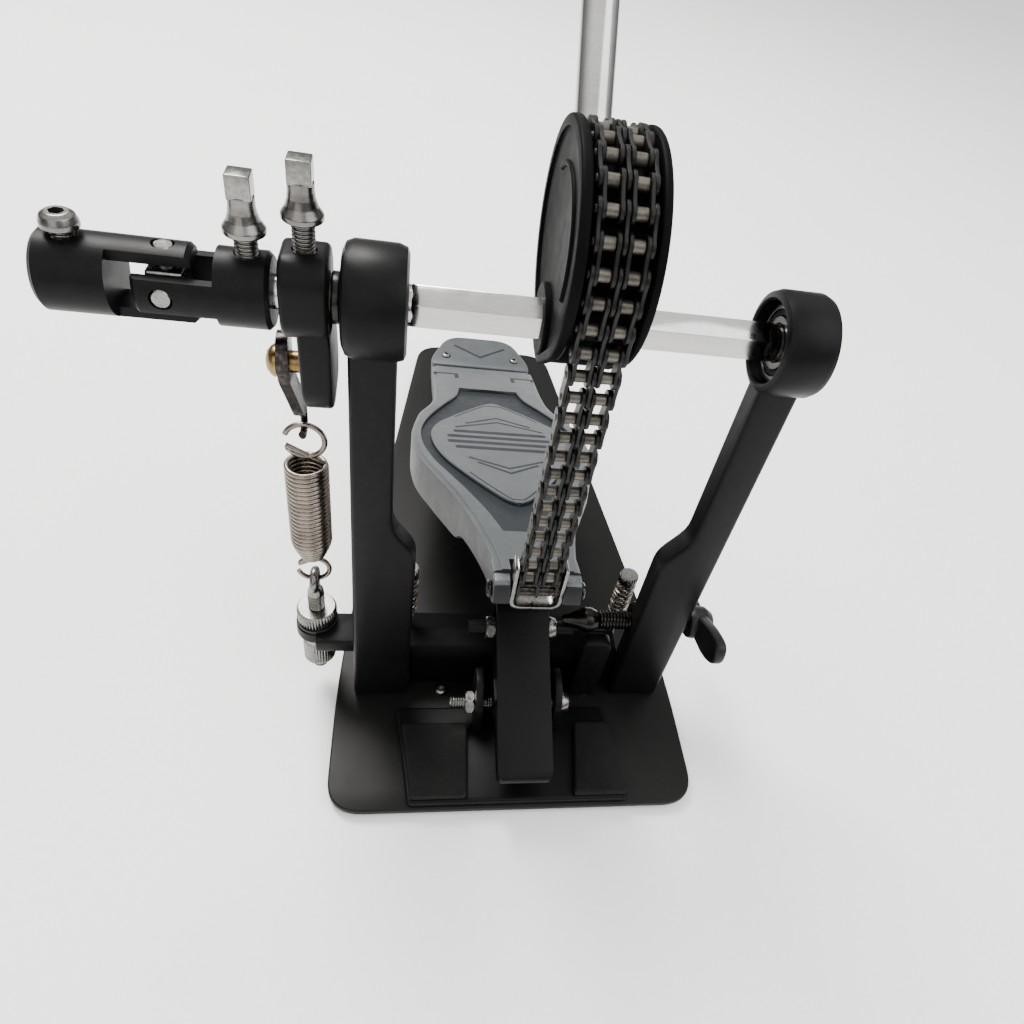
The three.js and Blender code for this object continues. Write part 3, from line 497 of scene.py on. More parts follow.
FELT = surface(
    "wool felt", (0.55, 0.52, 0.45), (0.76, 0.73, 0.66), (0.85, 1.0), 0.0, 90.0,
    grain=1100.0, grain_depth=0.0007, specular=0.15, sheen=0.6, mottle=0.2,
)
FLOOR = surface(
    "floor", (0.93, 0.93, 0.93), (0.95, 0.95, 0.95), (0.6, 0.7), 0.0, 3.0,
    grain=300.0, grain_depth=0.00002, mottle=0.01,
)

# ------------------------------------------------------------------ pieces


def piece(name, bm, material, body, replaces=(), smooth=35.0, others=()):
    """An object from a solid in millimetres, riding on a CAD body."""
    bmesh.ops.scale(bm, vec=(MM, MM, MM), verts=bm.verts)
    mesh = bpy.data.meshes.new(name)
    bm.to_mesh(mesh)
    bm.free()
    mesh.materials.append(material)
    for other in others:
        mesh.materials.append(other)
    for polygon in mesh.polygons:
        polygon.use_smooth = True
    mesh.set_sharp_from_angle(angle=math.radians(smooth))
    item = bpy.data.objects.new(name, mesh)
    bpy.context.collection.objects.link(item)
    bpy.context.view_layer.update()
    if body:
        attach(item, body)
    if replaces:
        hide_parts(*([replaces] if isinstance(replaces, str) else replaces))
    return item


def both(make):
    """The same piece on the left and on the right."""
    for label, side in (("left", -1), ("right", 1)):
        make(label, side)


def ordered(one, two):
    return min(one, two), max(one, two)


# ------------------------------------------------------------------ base

PLATE_FRONT, PLATE_BACK = -52.0, 248.0
PLATE_HALF, HEEL_HALF, TAPER_Y = 68.5, 39.0, 15.0
PLATE_LOW, PLATE_HIGH = 2.0, 5.0
SPUR_X, SPUR_Y = 43.0, 20.0
CROSS_X0 = 41.1                      # half length of the cross member


def plate_outline(inset):
    front, back = PLATE_FRONT + inset, PLATE_BACK - inset
    half, heel = PLATE_HALF - inset, HEEL_HALF - inset
    return fillet([
        (-half, front, 13), (half, front, 13), (half, TAPER_Y, 40),
        (heel, back, 14), (-heel, back, 14), (-half, TAPER_Y, 40),
    ], 10, 10)


def spur_holes(radius):
    return [rod("z", radius, -3, 45, side * SPUR_X, SPUR_Y, 0) for side in (-1, 1)]


def hex_bar(flats, low, high, a=0.0, b=0.0, axis="x", bevel=0.25):
    return prism(axis, circle(flats / math.sqrt(3), a, b, 6, 30), low, high, bevel, 2)


def pan_head(axis, radius, low, high, a=0.0, b=0.0):
    """A round screw head that stands on low, with a hexagonal socket in its top."""
    step = high - low
    dome = lathe(axis, [
        (0, low), (radius, low), (radius, low + 0.35 * step), (0.86 * radius, low + 0.8 * step),
        (0.6 * radius, high), (0, high),
    ], a, b, 48, 0.25)
    socket = prism(axis, circle(0.42 * radius, a, b, 6), *ordered(low + 0.4 * step, high + step))
    return cut(dome, socket)


def hex_nut(axis, flats, low, high, a=0.0, b=0.0):
    """A hexagonal nut whose corners are turned off to a cone on both faces."""
    corner = flats / math.sqrt(3)
    cone = lathe(axis, [
        (0, low), (flats / 2, low), (corner, low + 0.8), (corner, high - 0.8), (flats / 2, high), (0, high),
    ], a, b, 48)
    return combined(prism(axis, circle(corner, a, b, 6), low, high), [cone], "INTERSECT")


def add_base():
    pad = cut(prism("z", plate_outline(2.5), 0, PLATE_LOW, 0.3, 2), *spur_holes(5))
    piece("floor_pad", pad, RUBBER, "base", "rubber_pad")
    sheet = cut(prism("z", plate_outline(0), PLATE_LOW, PLATE_HIGH, 0.7, 3), *spur_holes(4))
    piece("steel_base_plate", sheet, PLATE, "base", "base_plate")

    profile = fillet([
        (1, PLATE_HIGH), (27, PLATE_HIGH), (27, 18), (14, 24), (13, 27), (3, 27), (1, 24),
    ], 1.5, 4)
    lugs = []
    for side in (-1, 1):
        lugs.append(rod("z", 7, 19, 25, side * SPUR_X, SPUR_Y, 0.8))
        lugs.append(box(ordered(side * 30, side * SPUR_X), (13, 27), (19, 25), 0.8))
    member = prism("x", profile, -CROSS_X0, CROSS_X0, 0.6, 3)
    bridge = joined(member, cut(joined(*lugs), *spur_holes(2.7)))
    piece("cross_member", bridge, MATT_BLACK, "base", "frame_bridge")

    heads = []
    for x, y in ((-28.0, -2.6), (30.4, -2.6)):
        heads.append(pan_head("z", 2.7, PLATE_HIGH - 0.2, PLATE_HIGH + 1.8, x, y))
    heads.append(pan_head("y", 1.7, 1.1, -0.2, 31.0, 20.5))
    piece("base_screws", joined(*heads), NICKEL, "base")


POST_IN, POST_OUT, POST_DEPTH = 49.4, 61.7, 4.5
GUSSET_IN, GUSSET_TOP, GUSSET_SHOULDER = 41.4, 85.5, 97.0
WING_Y, WING_Z = 3.0, 46.0
SPRING_X, SPRING_Y = -75.2, 8.0
LUG_LOW, LUG_HIGH = 31.0, 37.0
JAW_HIGH = 8.0                       # top of the jaw block, under its two pads


def upright(side):
    """A flat cast post that widens inwards to a gusset over its lower half."""
    outline = fillet([
        (side * POST_OUT, AXLE_Z - 5, 0), (side * POST_OUT, PLATE_HIGH, 0),
        (side * GUSSET_IN, PLATE_HIGH, 0), (side * GUSSET_IN, GUSSET_TOP, 4),
        (side * POST_IN, GUSSET_SHOULDER, 4), (side * POST_IN, AXLE_Z - 5, 0),
    ], 2, 3)
    return prism("y", outline, -POST_DEPTH, POST_DEPTH, 1.5, 4)


def housing(side):
    """The round bearing housing, open to the axle's stub on the left and closed on the right."""
    inside, outside = side * HOUSING_IN, side * HOUSING_OUT
    seat = side * (HOUSING_IN + 10.2)
    soft = 2.6 * side
    through = 7.5 if side < 0 else 6.0
    profile = [
        (BEARING_R + 0.05, inside + 0.5 * side), (BEARING_R + 0.6, inside),
        (HOUSING_R - 2.2, inside), (HOUSING_R - 0.7, inside + 0.6 * side), (HOUSING_R, inside + soft),
        (HOUSING_R, outside - soft), (HOUSING_R - 0.8, outside - 0.8 * side), (HOUSING_R - 2.6, outside),
    ]
    if side < 0:
        profile += [(through + 0.5, outside), (through, outside - 0.5 * side), (through, seat)]
    else:
        end = side * (HOUSING_OUT - 2)
        profile += [(0, outside), (0, end), (through, end), (through, seat)]
    profile += [(BEARING_R + 0.05, seat), (BEARING_R + 0.05, inside + 0.5 * side)]
    return lathe("x", profile, 0, AXLE_Z, 96)


def add_post(label, side):
    reach = ordered(side * (HOUSING_IN - 3), side * (HOUSING_OUT + 3))
    room = rod("x", BEARING_R + 1.5, *reach, 0, AXLE_Z, 0)
    solids = [cut(upright(side), room), housing(side)]
    if side < 0:
        lug = [
            rod("z", 7.5, LUG_LOW, LUG_HIGH, SPRING_X, SPRING_Y, 0.9),
            box((SPRING_X, -POST_OUT + 3), (-2.8, SPRING_Y + 3), (LUG_LOW, LUG_HIGH), 0.9),
        ]
        hole = rod("z", 3.4, LUG_LOW - 3, LUG_HIGH + 3, SPRING_X, SPRING_Y, 0)
        solids += [cut(bm, hole) for bm in lug]
    else:
        hole = rod("x", 4.4, GUSSET_IN - 3, POST_OUT + 3, WING_Y, WING_Z, 0)
        boss = rod("x", 7.4, GUSSET_IN + 1, POST_OUT - 1, WING_Y, WING_Z, 0.8)
        solids[0] = cut(solids[0], hole)
        solids.append(cut(boss, hole))
    piece(f"{label}_cast_post", joined(*solids), POWDER, "base", f"{label}_post")


def add_bearing(label, side):
    """Two races with a recessed dust shield between them; both races are black chrome as painted shade for
    the dark bore of the housing.
    """
    near, far = ordered(side * (HOUSING_IN + 3), side * (HOUSING_IN + 10))
    # Black chrome on the races is painted shade: it keeps the bore inside the housing dark.
    shade_black_races = (
        ("outer_race", "base", 8.7, BEARING_R - 0.05),
        ("inner_race", "axle", JOURNAL + 0.05, 7.3),
    )
    for name, body, bore, rim in shade_black_races:
        race = washer("x", bore, rim, near, far, 0, AXLE_Z, 0.5, 80)
        piece(f"{label}_{name}", race, BLACK_CHROME, body, f"{label}_bearing_{name}")
    shield = washer("x", 7.32, 8.68, near + 0.5, far - 0.5, 0, AXLE_Z, 0.1, 80)
    piece(f"{label}_bearing_shield", shield, RUBBER, "base")


def add_jaws():
    outline = fillet([(-45.5, -12), (-40.5, -51), (41.5, -51), (36.5, -12)], 2, 5)
    block = prism("z", outline, PLATE_HIGH, JAW_HIGH, 1.0)
    piece("jaw_plate", block, POWDER, "base", "jaw_block")
    outlines = {
        "left": [(-43.2, -21), (-39.5, -50), (-19.5, -50), (-18.7, -21)],
        "right": [(36.2, -21), (40.5, -50), (20, -50), (23.2, -21)],
    }
    for label, corners in outlines.items():
        pad = prism("z", fillet(corners, 1.5, 5), JAW_HIGH, JAW_HIGH + 4, 0.9, 4)
        piece(f"{label}_jaw_lining", pad, RUBBER, "base", f"{label}_jaw_pad")


# ------------------------------------------------------------------ hoop clamp

PIVOT_Y, PIVOT_Z = -16.0, 18.0
TAIL_Y, TAIL_Z = PIVOT_Y + 19, PIVOT_Z + 22
ARM_HALF = 10.0
CLAMP_HOLE_R = 2.75


def add_clamp_bracket():
    outline = fillet([(-24, 8), (-8, 8), (-4, 18), (-6, 28), (-14, 29), (-22, 23)], 3, 6)

    def ear(label, side):
        x = 15 * side
        solid = prism("x", outline, x - 1.5, x + 1.5, 0.5)
        hole = rod("x", CLAMP_HOLE_R, x - 5, x + 5, PIVOT_Y, PIVOT_Z, 0)
        piece(f"{label}_ear", cut(solid, hole), POWDER, "base", f"{label}_clamp_ear")

    both(ear)


def add_clamp_arm():
    def at(points):
        return [(y + PIVOT_Y, z + PIVOT_Z, *rest) for y, z, *rest in points]

    lever = prism("x", fillet(at([
        (-34, 1), (-34.5, 4.2), (-31.5, 6.3), (-4, 17.5), (22, 29), (29, 29),
        (30, 23), (24, 17), (8, 8.5), (-8, 6.5), (-31, 0.5),
    ]), 1.6, 6), -ARM_HALF, ARM_HALF, 1.5, 5)
    plan = prism("z", fillet([
        (-ARM_HALF, PIVOT_Y - 34.6, 4), (ARM_HALF, PIVOT_Y - 34.6, 4),
        (ARM_HALF, PIVOT_Y + 30.2, 3), (-ARM_HALF, PIVOT_Y + 30.2, 3),
    ], 3, 6), PIVOT_Z - 5, PIVOT_Z + 35)
    lever = combined(lever, [plan], "INTERSECT")
    pivot_hole = rod("x", CLAMP_HOLE_R, -20, 20, PIVOT_Y, PIVOT_Z, 0)
    tail_hole = rod("x", CLAMP_HOLE_R, -20, 20, TAIL_Y, TAIL_Z, 0)
    boss = rod("x", 6, -ARM_HALF, ARM_HALF, PIVOT_Y, PIVOT_Z, 0.6)
    web = box((-ARM_HALF, ARM_HALF), (PIVOT_Y - 5, PIVOT_Y + 5), (PIVOT_Z, PIVOT_Z + 9), 0.5)
    body = [cut(lever, pivot_hole, tail_hole), cut(boss, pivot_hole), cut(web, pivot_hole)]
    piece("hoop_clamp_arm", joined(*body), POWDER, "clamp_arm", "clamp_arm")
    pad = box((-9, 9), (PIVOT_Y - 33, PIVOT_Y - 26), (PIVOT_Z - 0.9, PIVOT_Z + 1.2), 0.35)
    piece("clamp_lining", pad, RUBBER, "clamp_arm", "clamp_arm_pad")

    def bolt(name, y, z, tip, head, node):
        solids = [
            thread("x", 2.5, tip, -8, y, z),
            rod("x", 2.5, -8, head, y, z, 0.1),
            pan_head("x", 4.6, head - 0.3, head + 3.5, y, z),
        ]
        piece(name, joined(*solids), NICKEL, "clamp_arm", node)

    bolt("clamp_pivot_screw", PIVOT_Y, PIVOT_Z, -25.8, 16.8, "clamp_pivot_bolt")
    bolt("clamp_tail_screw", TAIL_Y, TAIL_Z, -15, 10.3, "clamp_tail_bolt")
    nuts = (("pivot", PIVOT_Y, PIVOT_Z, -20, -16.7), ("tail", TAIL_Y, TAIL_Z, -13.6, -10.2))
    for label, y, z, low, high in nuts:
        nut = hex_nut("x", 8, low, high, y, z)
        piece(f"clamp_{label}_hex_nut", nut, NICKEL, "clamp_arm", f"clamp_{label}_nut")


def add_clamp_screw():
    outline = fillet([(24, PLATE_HIGH, 0), (35, PLATE_HIGH, 0), (35, 39), (33, 41), (24, 41)], 2, 5)
    guide = prism("y", outline, -5, 0.7, 0.6)
    piece("screw_guide", guide, POWDER, "base", "clamp_screw_guide")
    cone = lathe("x", [
        (0, 14.6), (1.6, 15), (2.4, 18), (4.8, 23.5), (4.8, 26), (3.4, 28.8), (0, 28.8),
    ], WING_Y, WING_Z, 64, 0.5)
    piece("screw_cone", cone, BLACK_CHROME, "wing_screw", "clamp_cone")
    shaft = thread("x", 3.6, 29.2, 66, WING_Y, WING_Z, 1.25, 0.6)
    piece("wing_screw_thread", shaft, BLACK_CHROME, "wing_screw")
    hub = lathe("x", [
        (0, 65), (6, 65), (6.6, 67), (6.2, 72), (4, 75), (0, 75),
    ], WING_Y, WING_Z, 64, 0.6)
    wings = []
    for sign in (-1, 1):
        outline = fillet([
            (sign * 2, -5), (sign * 14, -6.5, 4), (sign * 25, -4, 7), (sign * 26, 6, 6),
            (sign * 15, 6.5, 4), (sign * 2, 5),
        ], 2, 8)
        wings.append(prism("x", outline, 67.5, 72, 1.4, 4))
    lean = Matrix.Translation((0, WING_Y, WING_Z)) @ Matrix.Rotation(math.radians(-20), 4, "X")
    handle = joined(hub, moved(joined(*wings), lean))
    piece("wing_handle", handle, PLASTIC, "wing_screw", "wing_screw")


def coil_points(radius, low, high, turns, x, y, steps=20, taper=0.0, tapered_turns=1.0):
    """A helix along Z; its radius is smaller by taper at its foot and full after some turns."""
    points = []
    total = int(turns * steps)
    for k in range(total + 1):
        turn = k / steps
        narrowing = max(1 - turn / tapered_turns, 0.0)
        r = radius - taper * narrowing ** 1.3
        angle = 2 * math.pi * turn
        points.append((x + r * math.cos(angle), y + r * math.sin(angle), low + (high - low) * k / total))
    return points


def add_spur(label, side):
    x = side * SPUR_X
    screw = joined(
        lathe("z", [(0, 1), (2.1, 6), (2.1, 8)], x, SPUR_Y, 32),
        thread("z", 2.3, 7, 49, x, SPUR_Y, 1.0, 0.35),
        knurl("z", 3.8, 49, 53.8, x, SPUR_Y, 24, 0.3, 0.5),
    )
    piece(f"{label}_floor_spur", screw, NICKEL, f"{label}_spur", f"{label}_spur_screw")
    coil = sweep(coil_points(3.4, 25.9, 48.1, 9, x, SPUR_Y), 0.55, 10)
    piece(f"{label}_spur_coil", coil, SPRING_WIRE, "base", f"{label}_spur_spring")


# ------------------------------------------------------------------ axle, rocker, yokes

STUB_R, STUB_END = 4.0, -89.5
ROCKER_X = (-76.3, -65.4)
KEY_HOLE_R = 2.9                     # clearance hole of a drum-key bolt


def add_axle():
    ends = HOUSING_IN - 0.6
    solids = [
        hex_bar(HEX_FLATS, -ends, ends, 0, AXLE_Z, "x", 0.35),
        rod("x", JOURNAL, -HOUSING_OUT - 1.4, HOUSING_OUT - 4, 0, AXLE_Z),
        rod("x", STUB_R, STUB_END, -HOUSING_OUT, 0, AXLE_Z, 0.5),
    ]
    piece("hex_axle", joined(*solids), CHROME, "axle", "axle", 25.0)
    low, high = ROCKER_X[1] + 0.3, -HOUSING_OUT - 0.3
    ring = washer("x", STUB_R + 1.1, 6.2, low, high, 0, AXLE_Z, 0.5)
    piece("axle_spacer", ring, BLACK_CHROME, "axle", "axle_collar")


def key_bolt(x, foot, seat):
    """A drum-key bolt: thread, bell-shaped flange and a square head for the key."""
    base = AXLE_Z + seat
    bell = [
        (0, 0), (4.4, 0), (4.7, 0.3), (4.7, 1.4), (4.3, 2.0), (3.6, 3.1), (3.1, 4.8), (2.9, 6.4),
        (2.9, 8.4), (0, 8.4),
    ]
    flange = lathe("z", [(radius, base + rise) for radius, rise in bell], x, 0, 64, 0.25)
    head = box((x - 2.6, x + 2.6), (-2.6, 2.6), (base + 7.9, base + 13.3), 0.35)
    return joined(thread("z", 2.6, AXLE_Z + foot, base + 0.4, x, 0, 0.85, 0.38), flange, head)


def add_rocker():
    left, right = ROCKER_X
    hub_outline = fillet([
        (-9.4, AXLE_Z - 5), (-9.4, AXLE_Z + 7), (-6, AXLE_Z + 11.4), (6, AXLE_Z + 11.4),
        (9.4, AXLE_Z + 7), (9.4, AXLE_Z - 5), (5, AXLE_Z - 9.4), (-5, AXLE_Z - 9.4),
    ], 3, 5)
    lever_outline = fillet([
        (-8, AXLE_Z, 0), (-6, AXLE_Z - 28), (0, AXLE_Z - 33.5), (14, AXLE_Z - 31),
        (15, AXLE_Z - 22), (8, AXLE_Z, 0),
    ], 4.5, 8)
    bore = rod("x", STUB_R + 0.05, left - 3, right + 3, 0, AXLE_Z, 0)
    middle = (left + right) / 2
    bolt_hole = rod("z", KEY_HOLE_R, AXLE_Z + 6, AXLE_Z + 17, middle, 0, 0)
    hub = cut(prism("x", hub_outline, left, right, 1.3, 4), bore, bolt_hole)
    lever = cut(prism("x", lever_outline, left + 3.2, right, 1.2, 4), bore)
    piece("rocker_casting", joined(hub, lever), POWDER, "axle", "spring_rocker")
    bolt = key_bolt(middle, 7, 18.2)
    piece("rocker_bolt", bolt, NICKEL, "axle", "rocker_key_bolt")


YOKE_R, YOKE_RIGHT, CROSS_X = 9.0, -78.2, -101.0


def fork(across, hub, tip):
    """One half of the joint, a hub and two ears beside the cross, and the cutters that shape it."""
    low, high = hub
    slot, ear, wide = 5.6, 4.0, 14.0
    toward_left = tip < low
    body = (tip, high) if toward_left else (low, tip)
    solid = lathe("x", [
        (0, body[0]), (YOKE_R - 1, body[0]), (YOKE_R, body[0] + 1), (YOKE_R, body[1] - 1),
        (YOKE_R - 1, body[1]), (0, body[1]),
    ], 0, AXLE_Z, 96)
    gap = (tip - 4, low) if toward_left else (high, tip + 4)
    # the slot between the ears, then the room on either side of them
    full = (-wide, wide)
    spans = [((-slot, slot), full), (full, (ear, wide)), (full, (-wide, -ear))]
    if across == "z":
        spans = [(z, y) for y, z in spans]
    cutters = [box(gap, y, (AXLE_Z + z[0], AXLE_Z + z[1]), 0) for y, z in spans]
    pin_at = (CROSS_X, AXLE_Z) if across == "y" else (CROSS_X, 0)
    low_pin, high_pin = (-wide, wide) if across == "y" else (AXLE_Z - wide, AXLE_Z + wide)
    cutters.append(rod(across, 2.5, low_pin, high_pin, *pin_at, 0))
    return solid, cutters


def add_universal_joint():
    hub_left, bolt = -90.0, -83.4
    solid, cutters = fork("y", (hub_left, YOKE_RIGHT), CROSS_X - 6)
    cutters += [
        rod("x", STUB_R + 0.05, STUB_END - 3, YOKE_RIGHT + 3, 0, AXLE_Z, 0),
        rod("z", KEY_HOLE_R, AXLE_Z + 3, AXLE_Z + 14, bolt, 0, 0),
    ]
    piece("inner_yoke", cut(solid, *cutters), POWDER, "axle", "drive_yoke")
    piece("yoke_bolt", key_bolt(bolt, 6, 13.5), NICKEL, "axle", "yoke_key_bolt")
    cross = joined(
        box((CROSS_X - 4, CROSS_X + 4), (-4, 4), (AXLE_Z - 4, AXLE_Z + 4), 0.8),
        rod("y", 2.3, -8.8, 8.8, CROSS_X, AXLE_Z),
        rod("z", 2.3, AXLE_Z - 8.8, AXLE_Z + 8.8, CROSS_X, 0),
    )
    piece("trunnion_cross", cross, NICKEL, "joint_cross", "joint_cross")
    end, hub = -127.0, -112.0
    solid, cutters = fork("z", (end, hub), CROSS_X + 6)
    cutters += [
        rod("x", 4.1, end - 3, hub - 2, 0, AXLE_Z, 0),
        rod("z", KEY_HOLE_R, AXLE_Z + 3, AXLE_Z + 14, end + 6, 0, 0),
    ]
    piece("outer_yoke", cut(solid, *cutters), POWDER, "link_yoke", "link_yoke")
    screw = joined(
        thread("z", 2.6, AXLE_Z + 5, AXLE_Z + 10.5, end + 6, 0),
        pan_head("z", 4, AXLE_Z + 10.3, AXLE_Z + 13.6, end + 6, 0),
    )
    piece("outer_yoke_screw", screw, NICKEL, "link_yoke", "link_yoke_screw")


# ------------------------------------------------------------------ cam and beater

CAM_RISE, CAM_R, FLANGE_R, DRUM_R, CAM_HUB_R = 20.0, 24.6, 27.0, 21.5, 11.0
CAM_LEFT, CAM_RIGHT = -14.4, 5.2
FLANGE_GAP = 7.5                     # middle of the chain to a flange's inner face
LEAN = math.radians(50)
REACH = 178.0
ROD_R = 4.75


def flange_outline(radius, hub):
    """The round flange with a nose that reaches down round the axle."""
    points = []
    count = 96
    for k in range(count):
        angle = 2 * math.pi * k / count
        away = Vector((math.cos(angle), math.sin(angle)))
        reached = []
        for t in (0, 0.25, 0.5, 0.75, 1):
            reached.append(Vector((0, CAM_RISE * t)) + away * (hub + (radius - hub) * t))
        best = max(reached, key=lambda p: p.dot(away))
        points.append((best.x, best.y + AXLE_Z))
    return points


def cam_flange(outer, inner, side):
    """A flange with a raised rim, a sunk web, a crescent rib and a boss round the axle."""
    low, high = ordered(outer, inner)
    sunk = 0.9 * side
    plate = prism("x", flange_outline(FLANGE_R, CAM_HUB_R), low, high, 0.7, 3)
    pocket_low, pocket_high = ordered(outer + 3 * side, outer - sunk)
    pocket = prism("x", flange_outline(FLANGE_R - 2.6, CAM_HUB_R - 2), pocket_low, pocket_high, 0.5, 2)
    body = cut(plate, pocket)
    boss_low, boss_high = ordered(outer + 0.5 * side, inner)
    boss = lathe("x", [
        (5, boss_low), (8.6, boss_low), (9, boss_low + 0.4), (9, boss_high), (5, boss_high), (5, boss_low),
    ], 0, AXLE_Z, 64)
    rib_r, start, steps = 17, math.radians(200), 24
    rib_path = []
    for k in range(steps + 1):
        angle = start - math.radians(150) * k / steps
        y, z = rib_r * math.cos(angle), AXLE_Z + CAM_RISE + rib_r * math.sin(angle)
        rib_path.append((outer - sunk, y, z))
    return [body, boss, sweep(rib_path, 0.7, 12)]


def tilted(bm):
    """From the beater's own frame, with the rod along +Y, to the scene."""
    return moved(bm, Matrix.Translation((CENTRE, 0, AXLE_Z)) @ Matrix.Rotation(LEAN, 4, "X"))


def add_cam():
    solids = []
    solids += cam_flange(CAM_LEFT, CENTRE - FLANGE_GAP, -1)
    solids += cam_flange(CAM_RIGHT, CENTRE + FLANGE_GAP, 1)
    solids.append(rod("x", DRUM_R, CAM_LEFT + 3, CAM_RIGHT - 3, 0, AXLE_Z + CAM_RISE, 0, 96))
    solids.append(rod("x", CAM_HUB_R - 0.5, CAM_LEFT + 3, CAM_RIGHT - 3, 0, AXLE_Z, 0, 64))
    boss = lathe("y", [
        (0, 12), (8.2, 12), (8.2, 39.5), (7.4, 41), (ROD_R + 0.6, 41), (ROD_R + 0.1, 40.4),
        (ROD_R + 0.1, 20), (0, 20),
    ], 0, 0, 64)
    boss = cut(boss, rod("z", 2.9, -12, 0, 0, 35, 0))
    solids.append(tilted(boss))
    piece("cam_casting", joined(*solids), MATT_BLACK, "axle", "cam")
    bolt = joined(
        thread("z", 2.6, -12, -ROD_R - 0.1, 0, 35),
        lathe("z", [
            (0, -9), (4.6, -8.6), (4.6, -9.6), (2.9, -12.6), (2.9, -15.7), (2.6, -16), (0, -16),
        ], 0, 35, 48),
    )
    piece("beater_set_bolt", tilted(bolt), NICKEL, "axle", "beater_lock_bolt")

    shaft = lathe("y", [
        (0, 17), (ROD_R - 0.6, 17), (ROD_R, 17.6), (ROD_R, REACH - 19.5), (ROD_R - 0.8, REACH - 18.7),
        (0, REACH - 18.7),
    ], 0, 0, 64)
    piece("beater_shaft", tilted(shaft), CHROME, "beater", "beater_rod")
    head = lathe("z", [
        (0, 24), (8, 23.9), (16, 23.2), (21.5, 21.3), (23.6, 18), (24, 14), (24, -11), (23.2, -15),
        (21, -18), (18, -18.5), (0, -18.5),
    ], 0, REACH, 96, 1.2)
    seams = [washer("z", 23.5, 26, z, z + 0.7, 0, REACH, 0, 96) for z in (2.5, -7.5)]
    head = cut(head, *seams, rod("y", ROD_R + 0.3, REACH - 30, REACH - 18, 0, 0, 0))
    felt = piece("felt_head", tilted(head), FELT, "beater", "beater_head")
    cap = joined(
        lathe("z", [
            (0, -23.5), (10, -23.4), (13.6, -22.2), (15.4, -20), (16, -18.8), (0, -18.8),
        ], 0, REACH, 96),
        pan_head("z", 4, -22.9, -24.6, 0, REACH),
    )
    piece("beater_cap", tilted(cap), PLASTIC, "beater", "beater_back_cap")


# ------------------------------------------------------------------ chain

PITCH = 6.35
ROW = 3.2                            # from the middle of the chain to the middle of a row
FREE_PITCHES, WRAPPED, PAID_OUT = 16, 8, 4
CHAIN_LEAN = math.radians(2.7)
TANGENT = math.pi + CHAIN_LEAN
PIN_STEP = 2 * math.asin(PITCH / (2 * CAM_R))
PLATE_R, WAIST, ROLLER_R, PIN_R = 2.6, 2.1, 1.5, 0.95
PLATE_THICK = 0.9


def chain_pin(index):
    """(y, z) of a pin: positive ones lie on the cam, negative ones down the straight run."""
    if index >= 0:
        angle = TANGENT - index * PIN_STEP
        return (CAM_R * math.cos(angle), AXLE_Z + CAM_RISE + CAM_R * math.sin(angle))
    y, z = chain_pin(0)
    down = -index * PITCH
    return (y + down * math.sin(CHAIN_LEAN), z - down * math.cos(CHAIN_LEAN))


def link_outline(here, there):
    """A figure-of-eight plate round two pins."""
    here, there = Vector(here), Vector(there)
    along = (there - here).normalized()
    side = Vector((-along.y, along.x))
    middle = (here + there) / 2
    points = []
    for centre, heading, turn in ((there, along, side), (here, -along, -side)):
        for k in range(9):
            angle = math.radians(-125 + 250 * k / 8)
            points.append(centre + PLATE_R * (heading * math.cos(angle) - turn * math.sin(angle)))
        points.append(middle + turn * -WAIST if centre is here else middle - turn * WAIST)
    return [tuple(p) for p in points]


def chain_pitch(index):
    """The pitch below a pin: its plates, and its rollers on an inner link or pins on an outer one."""
    here, there = chain_pin(index), chain_pin(index - 1)
    inner = index % 2 == 0
    outline = link_outline(here, there)
    plates, bright = [], []
    if inner:
        offsets = [row + end * 1.95 for row in (-ROW, ROW) for end in (-1, 1)]
        for y, z in (here, there):
            for row in (-ROW, ROW):
                x = CENTRE + row
                bright.append(rod("x", ROLLER_R, x - 1.45, x + 1.45, y, z, 0.2, 24))
    else:
        offsets = [-ROW - 2.85, 0.0, ROW + 2.85]
        for y, z in (here, there):
            bright.append(rod("x", PIN_R, CENTRE - 6.85, CENTRE + 6.85, y, z, 0.25, 16))
    for offset in offsets:
        middle = CENTRE + offset
        half = PLATE_THICK / 2
        plates.append(prism("x", outline, middle - half, middle + half, 0.14, 1))
    return plates, bright


def add_chain_group(label, indices, body, node):
    plates, bright = [], []
    for index in indices:
        some, shiny = chain_pitch(index)
        plates += some
        bright += shiny
    piece(f"{label}_plates", joined(plates), CHAIN_BLACK, body, node)
    piece(f"{label}_rollers", joined(bright), ROLLER, body)


def add_chain():
    add_chain_group("cam_chain", range(WRAPPED, PAID_OUT, -1), "axle", "chain_wrapped")
    for i in range(PAID_OUT):
        link = f"chain_link_{i + 1}"
        add_chain_group(f"chain_pitch_{i + 1}", [PAID_OUT - i], link, link)
    add_chain_group("straight_chain", range(0, -FREE_PITCHES, -1), "chain_free", "chain_free")


# ------------------------------------------------------------------ spring

HANGER_Z = AXLE_Z - 24.5
EYE_Z = 60.0


def open_ring(wide, tall, middle, start, turned, steps):
    """An open ring of the spring's wire, round Y, from one angle in degrees through another."""
    points = []
    for k in range(steps + 1):
        angle = math.radians(start + turned * k / steps)
        points.append((SPRING_X + wide * math.sin(angle), SPRING_Y, middle - tall * math.cos(angle)))
    return points


